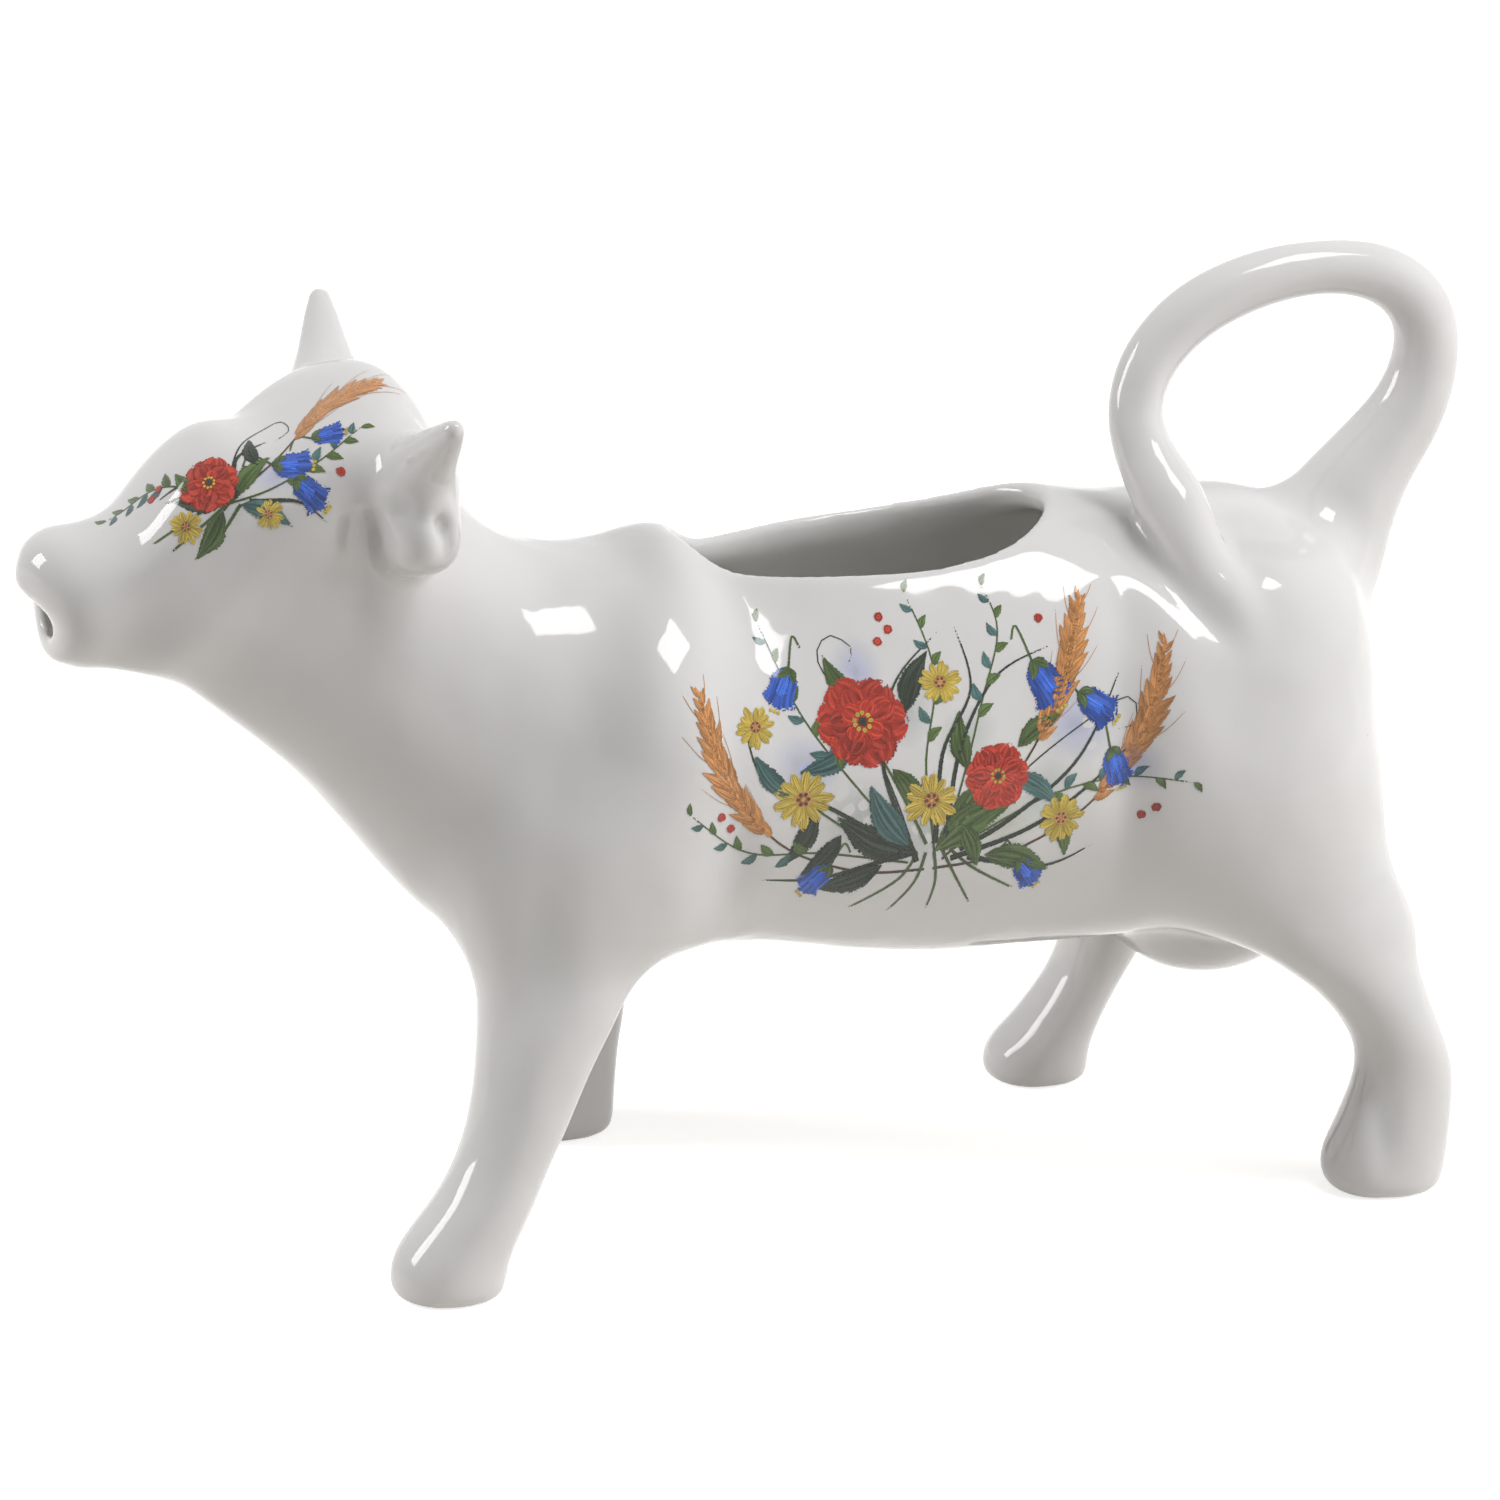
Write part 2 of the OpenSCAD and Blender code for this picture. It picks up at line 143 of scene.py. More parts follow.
class LimbSizes(bpy.types.PropertyGroup):
    """Sizes of the legs, udder and tail"""
    leg_h: length("Leg height", "Height of the legs up to the flank", 0.046)
    stance_w: length("Stance", "Between left and right hooves", 0.047)
    hoof_len: length("Hoof length", "Length of a hoof along the body", 0.0135)
    hoof_w: length("Hoof width", "Width of a hoof", 0.0125)
    front_left_lead: length("Left front hoof", "Place ahead of the front of the breast", 0.0065)
    front_right_lag: length("Right front hoof", "Place behind the front of the breast", 0.0195)
    rear_left_inset: length("Left rear hoof", "Place ahead of the rump", 0.0045)
    rear_right_inset: length("Right rear hoof", "Place ahead of the rump", 0.030)
    udder_len: length("Udder length", "Length of the udder", 0.027)
    udder_w: length("Udder width", "Width of the udder", 0.024)
    udder_drop: length("Udder depth", "Depth below the belly", 0.006)
    loop_len: length("Loop length", "Length of the tail's loop, middle to middle", 0.036)
    loop_h: length("Loop height", "Height of the loop above the back", 0.027)
    tail_d: length("Tail thickness", "Thickness of the tail", 0.0068)
    leg_fillet: length("Leg fillet", "Clay smoothed in where a leg joins", 0.0075)
    tail_fillet: length("Tail fillet", "Clay smoothed in at the root of the tail", 0.0045)
    tail_crease: length("Tail crease", "Clay smoothed in at the end of the tail", 0.0014)


class GlazeLook(bpy.types.PropertyGroup):
    """Colours of the porcelain and of the room"""
    porcelain: tint("Porcelain", "Colour of the glazed body", (0.80, 0.785, 0.78))
    # Pooled glaze and painted shade: the colour of hollows and creases, greyer than the porcelain.
    pooled: tint("Pooled glaze", "Colour where the glaze lies thick", (0.66, 0.655, 0.64))
    # Painted light: the inside of the jug is whiter than the glaze outside, to lighten its shaded hollow.
    inner: tint("Inside", "Colour of the glaze inside the jug", (0.96, 0.955, 0.925))
    speck: tint("Specks", "Colour of the few dust specks in the glaze", (0.38, 0.36, 0.33))
    gloss_roughness: share("Roughness", "Roughness of the glaze", 0.07)
    voxel: length("Detail", "Spacing of the clay's grid", 0.00065)


class PrintLook(bpy.types.PropertyGroup):
    """Sizes and inks of the printed sprays"""
    flank_scale: share("Flank spray", "Scale of the spray on the flank", 1.0, 1.5)
    brow_scale: share("Brow spray", "Scale of the spray on the brow", 1.0, 1.5)
    film: length("Film", "Height of the print over the glaze", 0.00003)
    lap: length("Overlap", "Step between prints that overlap", 0.00001)
    red: tint("Red", "Ink of the roses", (0.60, 0.045, 0.018))
    blue: tint("Blue", "Ink of the bells", (0.035, 0.125, 0.60))
    yellow: tint("Yellow", "Ink of the daisies", (0.74, 0.55, 0.08))
    ochre: tint("Ochre", "Ink of the plumes", (0.74, 0.33, 0.10))
    leaf: tint("Leaf", "Ink of the lit leaves", (0.10, 0.17, 0.04))
    shade: tint("Shade", "Ink of the shaded leaves", (0.035, 0.055, 0.03))
    sea: tint("Sea green", "Ink of the cool leaves", (0.075, 0.18, 0.17))
    bark: tint("Bark", "Ink of the stalks", (0.13, 0.07, 0.035))


# The trunk, neck and head are one form through rings. A row holds the place and height of the ring's
# top, the place and height of its bottom, its half width, the height of its widest line, its squareness
# and how far its sides are drawn in towards the top, as round the hole.
# Trunk: places along its length from the breast, heights between the belly and the back.
TRUNK_SHARES = [
    (0.985, 0.64, 0.985, 0.52, 0.05, 0.5, 2, 0),
    (0.978, 0.78, 0.978, 0.34, 0.46, 0.5, 2.1, 0),
    (0.960, 0.87, 0.960, 0.18, 0.71, 0.5, 2.2, 0),
    (0.928, 0.92, 0.928, 0.10, 0.87, 0.5, 2.3, 0),
    (0.875, 0.955, 0.875, 0.05, 0.98, 0.5, 2.3, 0),
    (0.810, 0.965, 0.810, 0.03, 1.00, 0.48, 2.3, 0),
    (0.730, 0.975, 0.730, 0.02, 0.955, 0.46, 2.2, 0.04),
    (0.650, 1.008, 0.650, 0.015, 0.95, 0.45, 2.1, 0.1),
    (0.587, 1.032, 0.587, 0.018, 0.965, 0.43, 2.05, 0.17),
    (0.510, 1.070, 0.510, 0.02, 0.98, 0.415, 2, 0.28),
    (0.418, 1.067, 0.418, 0.045, 0.975, 0.415, 2, 0.40),
    (0.325, 0.998, 0.320, 0.085, 0.935, 0.45, 2, 0.40),
    (0.280, 0.966, 0.264, 0.092, 0.945, 0.463, 2.05, 0.32),
    (0.236, 1.006, 0.209, 0.10, 0.955, 0.475, 2.1, 0.22),
    (0.191, 0.972, 0.118, 0.09, 0.945, 0.48, 2.3, 0.06),
    (0.155, 0.970, 0.042, 0.11, 0.88, 0.48, 2.3, 0),
]
# Head: places ahead of the breast line, heights between the belly and the poll
HEAD_SHARES = [
    (-0.260, 0.692, 0.060, 0.152, 1.36, 0.48, 2.3, 0),
    (-0.180, 0.707, 0.187, 0.255, 1.20, 0.48, 2.2, 0),
    (-0.100, 0.737, 0.320, 0.372, 1.07, 0.48, 2.2, 0),
    (-0.030, 0.790, 0.434, 0.446, 0.98, 0.5, 2.2, 0),
    (0.008, 0.859, 0.524, 0.498, 0.95, 0.55, 2.2, 0),
    (0.062, 0.944, 0.594, 0.538, 0.98, 0.62, 2.2, 0),
    (0.150, 1.000, 0.648, 0.556, 1.00, 0.66, 2.3, 0),
    (0.275, 0.979, 0.688, 0.567, 0.95, 0.66, 2.5, 0),
    (0.405, 0.923, 0.724, 0.574, 0.85, 0.64, 2.5, 0),
    (0.520, 0.930, 0.762, 0.579, 0.74, 0.60, 2.4, 0),
    (0.620, 0.887, 0.800, 0.583, 0.66, 0.55, 2.3, 0),
    (0.710, 0.815, 0.836, 0.588, 0.63, 0.52, 2.3, 0),
    (0.800, 0.793, 0.860, 0.598, 0.62, 0.5, 2.3, 0),
    (0.880, 0.792, 0.889, 0.606, 0.54, 0.54, 2.2, 0),
    (0.940, 0.768, 0.898, 0.628, 0.34, 0.56, 2, 0),
    (0.959, 0.724, 0.903, 0.664, 0.10, 0.56, 2, 0),
]
# Legs: height, place along the body from the hoof, both as shares of the leg's height, half length
# and half width as shares of the hoof's, and place out from the middle as a share of the hoof's
LEG_SHARES = {
    "front_left_leg": [
        (0, -0.009, 0.83, 0.92, 1), (0.02, -0.013, 0.94, 0.99, 1), (0.08, -0.003, 0.96, 1.01, 0.99),
        (0.14, 0.030, 0.92, 0.99, 0.98), (0.22, 0.085, 0.83, 0.94, 0.97), (0.30, 0.132, 0.78, 0.92, 0.94),
        (0.39, 0.177, 0.82, 0.95, 0.91), (0.48, 0.213, 0.90, 1.02, 0.87), (0.57, 0.249, 1.02, 1.14, 0.82),
        (0.65, 0.292, 1.22, 1.28, 0.76), (0.73, 0.345, 1.52, 1.36, 0.71), (0.85, 0.385, 1.74, 1.45, 0.66),
        (1, 0.40, 1.66, 1.47, 0.62), (1.12, 0.41, 1.35, 1.34, 0.58), (1.19, 0.42, 0.9, 0.9, 0.5),
    ],
    "front_right_leg": [
        (0, 0.004, 0.92, 0.92, 1), (0.02, 0.004, 1.0, 0.99, 1), (0.08, 0.003, 1.02, 1.01, 0.99),
        (0.14, 0.01, 0.99, 0.99, 0.98), (0.22, 0.026, 0.92, 0.95, 0.97), (0.30, 0.044, 0.85, 0.93, 0.94),
        (0.39, 0.052, 0.84, 0.95, 0.91), (0.48, 0.046, 0.94, 1.02, 0.87), (0.57, 0.035, 1.12, 1.14, 0.82),
        (0.65, 0.02, 1.34, 1.28, 0.76), (0.73, 0, 1.52, 1.36, 0.71), (0.85, -0.04, 1.68, 1.45, 0.66),
        (1, -0.08, 1.62, 1.47, 0.62), (1.12, -0.10, 1.35, 1.34, 0.58), (1.19, -0.11, 0.9, 0.9, 0.5),
    ],
    "rear_left_leg": [
        (0, 0.004, 0.86, 0.92, 1), (0.02, -0.002, 1.0, 0.99, 1), (0.08, 0.002, 1.07, 1.01, 0.99),
        (0.14, 0.021, 1.0, 0.99, 0.98), (0.22, 0.045, 0.90, 0.94, 0.97), (0.29, 0.057, 0.82, 0.9, 0.96),
        (0.36, 0.048, 0.78, 0.9, 0.95), (0.43, 0.018, 0.81, 0.95, 0.93), (0.51, -0.027, 0.95, 1.04, 0.90),
        (0.58, -0.080, 1.20, 1.17, 0.86), (0.66, -0.130, 1.58, 1.31, 0.81), (0.76, -0.197, 1.80, 1.40, 0.77),
        (0.88, -0.26, 1.84, 1.47, 0.73), (1, -0.295, 1.82, 1.48, 0.69), (1.12, -0.325, 1.55, 1.40, 0.65),
        (1.20, -0.34, 0.95, 0.9, 0.58),
    ],
    "rear_right_leg": [
        (0, 0, 0.82, 0.92, 1), (0.02, -0.004, 0.89, 0.99, 1), (0.08, 0.002, 0.88, 1.01, 0.99),
        (0.14, 0.040, 0.74, 0.98, 0.98), (0.20, 0.078, 0.67, 0.92, 0.97), (0.27, 0.121, 0.64, 0.88, 0.96),
        (0.34, 0.156, 0.69, 0.89, 0.95), (0.42, 0.188, 0.79, 0.94, 0.93), (0.51, 0.225, 1.02, 1.02, 0.90),
        (0.60, 0.26, 1.32, 1.2, 0.85), (0.70, 0.285, 1.58, 1.34, 0.80), (0.82, 0.30, 1.70, 1.44, 0.75),
        (1, 0.30, 1.66, 1.48, 0.69), (1.12, 0.28, 1.4, 1.40, 0.65), (1.20, 0.26, 0.9, 0.9, 0.58),
    ],
}
LEG_SQUARENESS = 2.2
# Tail: place along the loop, place out from the middle as a share of half the trunk's width,
# height of the loop's middle line above the back, and thickness
TAIL_SHARES = [
    (0.55, 0, -0.74, 2.0), (0.63, 0, -0.46, 2.15), (0.70, 0, -0.22, 1.92), (0.80, 0, 0.0, 1.52),
    (0.928, 0, 0.255, 1.26), (0.984, 0, 0.53, 1.12), (0.955, 0, 0.77, 1.06), (0.825, 0, 0.94, 0.98),
    (0.63, 0, 1, 0.9), (0.405, 0, 0.965, 0.95), (0.187, -0.01, 0.835, 0.98), (0.035, -0.04, 0.62, 0.94),
    (-0.024, -0.1, 0.385, 0.92), (-0.008, -0.2, 0.19, 1.02), (0.034, -0.36, 0.01, 1.2),
    (0.07, -0.53, -0.21, 1.08), (0.14, -0.66, -0.42, 1.05), (0.21, -0.72, -0.63, 0.9),
]
# Horn: radius as a share of its root's thickness, height outside the head as a share of its length
HORN_SHARES = [(0.42, 0), (0.32, 0.2), (0.235, 0.45), (0.175, 0.7)]
HORN_FOOT_SHARE = 0.52
HORN_TIP_SHARE = 0.11
# Ear and the hollow in it: front to back, outwards and upwards, as shares of the ear's width, length
# and height. The hollow's middle size is a share of its depth.
EAR_SHARES = (0.94, 1.0, 0.9)
EAR_CUP_SHARES = (0.17, 1.8, 0.62)
EAR_CUP_PLACE = (0.22, 0.6, -0.08)
EAR_SQUARENESS = 2.7
FORE_SHARE = 0.33  # how much of the trunk's length lies ahead of the origin
HOLE_TAPER = 0.25  # how much wider the filling hole is at its rear end
# Angles in degrees
HORN_SWEEP = {"left": 6, "right": 12}
HORN_RISE = 36
EAR_TILT = 18
EAR_TURN = 14

# Strokes of the modeller's thumb, in millimetres: place, reach along each axis, and depth, which is
# below zero where clay is added. The first two tables are made on both sides: before the limbs are
# joined on, and after.
SKIN_STROKES = {
    "cheek hollow": (-58, -12, 79.5, 9, 6, 5.5, 0.9),
    "brow ridge": (-54, -10.5, 90, 8, 5, 2.8, -0.5),
    "temple": (-51.5, -11.5, 93, 7.5, 6, 7, -0.6),
    "neck valley": (-22, -20, 76, 4, 8, 8, 0.8),
    "shoulder": (-16, -22, 64, 7, 9, 13, -0.8),
    "waist": (22, -23, 52, 17, 10, 20, 1.4),
    "neck fold": (-25.5, -21, 67, 4, 8, 7, 0.6),
    "neck fold below": (-29.5, -23, 56, 4, 8, 7, 0.6),
    "behind the shoulder": (-9.3, -23, 62, 2.6, 8, 12, 0.45),
    "collar": (-4.5, -19, 68.5, 5, 6, 5, -0.35),
    "haunch crease": (37.2, -23, 54, 2.9, 9, 15, 0.9),
    "haunch crease top": (39.2, -18, 69, 3.0, 8, 5.0, 0.7),
    "haunch": (43.8, -23, 54, 5.0, 9, 16, -1.3),
    "chin": (-80.5, 0, 71.5, 3, 4, 3, -0.6),
    "nostril side": (-82, 0, 79.2, 3, 4, 2.2, -0.5),
}
BODY_STROKES = {
    "ear valley": (-49.4, -13.8, 84.5, 2.4, 3, 7, 1.9),
    "ear crease front": (-46.2, -19.8, 90.6, 1.8, 3, 1.2, 0.8),
    "ear crease back": (-43.2, -19.8, 88.9, 1.8, 3, 1.2, 0.8),
}
# Strokes on the left side only: a groove along the front of the tail's end, the end pressed flatter,
# the hip, armpit and front leg worked over, and the rear hoof pinched
LEFT_STROKES = {
    "shaded side": (41.2, -12.5, 75.2, 3.0, 4.0, 3.0, 0.6),
    "groove 1": (42.8, -10.0, 75.6, 1.9, 2.6, 2.2, 0.45),
    "groove 2": (43.6, -12.6, 74.1, 1.9, 2.6, 2.2, 0.55),
    "groove 3": (44.6, -15.0, 72.4, 1.9, 2.6, 2.2, 0.6),
    "groove 4": (46.0, -17.2, 70.7, 1.9, 2.6, 2.2, 0.6),
    "groove 5": (47.6, -19.2, 69.0, 1.9, 2.6, 2.2, 0.55),
    "groove 6": (49.4, -20.6, 67.4, 1.9, 2.6, 2.2, 0.4),
    "flat": (49.3, -17.2, 74.7, 3.0, 3.0, 4.5, 0.6),
    "hip above": (57.0, -18.0, 72.5, 4.5, 4.0, 3.5, -0.45),
    "hip below": (56.0, -21.5, 65.5, 5.0, 4.0, 3.0, 0.25),
    "armpit": (-17.2, -21.5, 32.8, 5.5, 7.0, 5.0, 2.4),
    "armpit end": (-11.5, -21.5, 36.5, 3.5, 6.0, 3.0, -0.5),
    "belly's edge": (-9.0, -16.5, 35.6, 4.5, 5.0, 2.6, -0.7),
    "front muscle": (-36.5, -19.0, 42.0, 3.5, 6.0, 9.0, -0.6),
    "leg fold": (-31.0, -24.5, 43.0, 3.2, 6.0, 7.0, 0.7),
    "leg's back edge": (-16.5, -24.5, 46.0, 3.5, 6.0, 9.0, -0.5),
    "leg's crease": (-9.0, -23.5, 45.0, 3.0, 6.0, 9.0, 0.45),
    "hoof groove": (66.8, -28.2, 8.5, 1.8, 3.0, 5.5, 0.5),
    "hoof ridge": (64.8, -26.5, 8.0, 1.2, 3.0, 4.5, -0.25),
}

# Printed sprays, in millimetres on a flat sheet: across, then up. Blooms: place and radius; a bell also
# has the way it hangs, in degrees. Stalks: their points, then what grows along them.
FLANK_SPRAY = {
    "plumes": [[(-1, -14), (-9, -13.5), (-18, -9.5), (-24.5, -1.5), (-27, 8)],
               [(0, -14), (9, -13), (18, -8.5), (24.5, -1), (28, 9)],
               [(1, -13), (9, -5), (15, 4), (19, 14.5)]],
    "sprigs": [[(-2, -12), (-9, -4), (-15, 5), (-18, 15)], [(0, -12), (-1, -2), (1, 8), (-1, 17)],
               [(2, -12), (13, -7), (22, -5.5), (30, -6.5)],
               [(-3, -13), (-13, -11), (-22, -10), (-29, -5)], [(2, -8), (6, 4), (9, 12), (8, 17)]],
    "tendrils": [[(-3, -10), (-8, 3), (-12, 10), (-10.5, 13), (-8, 11.5), (-9, 9.5)],
                 [(3, -10), (13, -2), (23, 3.5), (24, 0.5), (21.5, 0)]],
    "stalks": [[(-2, -12), (-4, -15), (-9, -18)], [(-1, -12), (-2, -15.5), (-4.5, -18.8)],
               [(0, -12), (0.5, -15.5), (0, -19)], [(1, -12), (3, -15.5), (5, -18.6)],
               [(2, -12), (5, -14.5), (10, -17.4)], [(-1, -11), (-4, -5), (-7, 1)],
               [(1, -11), (5, -8), (8, -4)], [(-2, -12), (-8, -10), (-15, -5)]],
    "blades": [[(-2, -13), (-6, -2), (-4, 7), (2, 12.5)], [(1, -12), (3, -1), (8, 7), (15, 10)],
               [(-3, -12), (-12, -6), (-20, -2), (-22, 6)], [(2, -13), (12, -10), (21, -4), (26, 1)],
               [(-4, -12), (-13, -14), (-20, -13.5)], [(4, -13), (13, -15), (19, -13)],
               [(0, -11), (1, -1), (5, 6), (4, 13)], [(3, -12), (9, -9), (17, -3), (23, 7)]],
    "washes": [(-9, -7, 11, "sea"), (-1, -9, 10, "sea"), (8, -9, 10, "leaf"), (-15, -1, 9, "blue"),
               (17, 1, 11, "blue"), (-3, 4, 9, "sea"), (4, 1, 8, "sea"), (24, -4, 8, "blue"),
               (13, -6, 9, "sea"), (-8, 9, 8, "blue")],
    "leaves": [(-2, -12, 152, 11), (0, -12, 28, 11.5), (-3, -11, 122, 9), (2, -11, 58, 8.5),
               (-6, -13, 196, 8), (6, -13, -18, 8.5), (-9, 1, 200, 7.5), (-8, 5, 120, 7),
               (-3, 4, 62, 7.5), (-5, -2, -60, 7), (9, -4, -35, 7), (10, -1, 32, 6.5), (-14, -6, 240, 7),
               (14, -8, -75, 6.5), (-17, -4, 128, 6.5), (4, -3, 95, 7), (-11, -9, 225, 6.5),
               (3, -9, -68, 6)],
    "roses": [(-8, 3.5, 5.6), (7.5, -4, 4.2)],
    "daisies": [(-15.5, -4.5, 3.5), (-0.5, -6, 3.3), (15, -9.5, 2.8), (1.5, 7, 2.5), (-20.5, 4, 2.4)],
    "bells": [(12.5, 8.5, -62, 5.6), (17.5, 4.5, -38, 5.0), (21, -2, -75, 4.4), (-15.5, 10, -118, 4.6),
              (-12, -12.5, -135, 4.0), (10, -14, -50, 3.8)],
    "berries": [(-5, 12), (-3.6, 13.2), (-4.4, 14.6), (14, 13), (24.5, -10), (26, -9.2), (-24, -7),
                (-25.2, -5.6)],
}
BROW_SPRAY = {
    "plumes": [[(-2, -3), (5, 1), (11, 5.5), (17, 7.5)]],
    "sprigs": [[(-2, -2.5), (4, -2.5), (10, -1.5), (15, 1)], [(-2, -2), (-7, 2.5), (-11, 4), (-15.5, 3)]],
    "tendrils": [[(-1, -2), (2, 5), (5.5, 7.5), (7, 5), (5, 4)]],
    "stalks": [[(0, -2), (-4, -3.5), (-9, -5)], [(0, -1.5), (-5, -2.5), (-11, -3.5)],
               [(0, -1), (-4, 0), (-8, 0.5)], [(0, -3), (-3, -5), (-7, -6.5)]],
    "blades": [[(0, -2), (1, 2.5), (4.5, 4.5)], [(0, -2), (-5, 1.5), (-9, 1.5)],
               [(1, -3), (6, -5), (8, -7.5)]],
    "washes": [(-2, -2, 7, "sea"), (5, -1, 7, "blue")],
    "leaves": [(-1, -2, 160, 6.5), (0, -2, 40, 6), (0, -3, -42, 6), (-2, -3, 215, 6), (3, 1, 95, 4.5),
               (-4, 0, 118, 4.5)],
    "roses": [(-2.5, 0.5, 3.6)],
    "daisies": [(-6.5, -3.2, 1.9), (2.5, -5, 1.7)],
    "bells": [(4.5, 0.5, -28, 4.6), (6.5, -2.5, -62, 4.0), (9.5, 1.8, -12, 3.6)],
    "berries": [(-8.5, 3.2), (-9.6, 2.4), (11.5, -3.4)],
}
# Each sheet's middle and the way it faces, as azimuth and elevation, and the turn of the sheet in degrees
FLANK_SHEET = ((0.0150, 0.0, 0.0530), -2, 12, 0)
BROW_SHEET = ((-0.0600, -0.0060, 0.0890), -38, 38, 30)
SHEET_OFF = 0.04  # how far outside its middle a sheet starts, before it is laid on the clay

# The photograph's camera: its angle in degrees, its distance, the point that it looks at, and the scale
# of the picture at that distance
CAMERA_AZIMUTH, CAMERA_ELEVATION, CAMERA_DISTANCE = -18.0, 18.3, 1.2
AIM = (0, 0, 0.0518)
SENSOR = 36
PHOTO_PIXELS = 1500
PIXELS_PER_MM = 8.84
# Lamps: name, azimuth, elevation, distance, size, power, and whether the glaze mirrors it
LAMPS = [
    ("lamp_above", 50, 64, 0.80, (0.28, 0.30), 2.3, True),
    ("lamp_left", -112, 27, 0.90, (0.28, 0.42), 3.0, True),
    ("lamp_right", 66, 26, 1.20, (1.10, 0.90), 7.6, False),
]
ROOM_LIGHT = 0.205
TABLE_REACH = 3
TABLE_COLOUR = (0.72, 0.70, 0.66)
TABLE_LIFT = (0.72, 0.92)  # near the jug, and a metre off

# The castings, in the order in which they are numbered in the clay
CASTINGS = ["trunk_shell", "head_shell", "udder", "left_ear", "right_ear", "left_horn", "right_horn",
            "tail_handle", "front_left_leg", "front_right_leg", "rear_left_leg", "rear_right_leg"]


def smooth_rows(rows, steps, soften):
    """Rows of a table at even steps on a smooth curve, softened a little so that the curve has no kinks."""
    table = np.array(rows, float)
    last = len(table) - 1
    u = np.linspace(0, last, last * steps + 1)
    i = np.minimum(u.astype(int), last - 1)
    t = (u - i)[:, None]
    ends = np.vstack([table[:1], table, table[-1:]])
    a, b, c, d = ends[i], ends[i + 1], ends[i + 2], ends[i + 3]
    curve = 0.5 * (2 * b + (c - a) * t + (2 * a - 5 * b + 4 * c - d) * t ** 2
                   + (3 * b - a - 3 * c + d) * t ** 3)
    if soften:
        weights = np.bartlett(2 * soften + 3)[1:-1]
        weights /= weights.sum()
        before = 2 * curve[0] - curve[soften:0:-1]
        after = 2 * curve[-1] - curve[-2:-soften - 2:-1]
        padded = np.vstack([before, curve, after])
        curve = np.stack([np.convolve(padded[:, k], weights, "valid") for k in range(curve.shape[1])], 1)
    return curve


def signed_power(v, n):
    return np.sign(v) * np.abs(v) ** n


def closed_loft(rings):
    """Points and faces of the closed solid through rings of equal numbers of points."""
    count, sides = rings.shape[:2]
    points = rings.reshape(-1, 3)
    i, k = np.meshgrid(np.arange(count - 1), np.arange(sides), indexing="ij")
    after = (k + 1) % sides
    quads = np.stack([i * sides + k, i * sides + after, (i + 1) * sides + after, (i + 1) * sides + k], -1)
    k = np.arange(sides)
    after = (k + 1) % sides
    first, last = len(points), len(points) + 1
    start = np.stack([np.full(sides, first), after, k], -1)
    end = np.stack([np.full(sides, last), (count - 1) * sides + k, (count - 1) * sides + after], -1)
    points = np.vstack([points, rings[0].mean(0), rings[-1].mean(0)])
    return points, quads.reshape(-1, 4), np.vstack([start, end])


def turned(points, rotate_y=0.0, rotate_z=0.0, rotate_x=0.0):
    """Points turned about Y, then Z, then X, in degrees."""
    for axis, angle in (("Y", rotate_y), ("Z", rotate_z), ("X", rotate_x)):
        if angle:
            c, s = math.cos(math.radians(angle)), math.sin(math.radians(angle))
            turn = {"X": [[1, 0, 0], [0, c, -s], [0, s, c]],
                    "Y": [[c, 0, s], [0, 1, 0], [-s, 0, c]],
                    "Z": [[c, -s, 0], [s, c, 0], [0, 0, 1]]}[axis]
            points = points @ np.array(turn).T
    return points


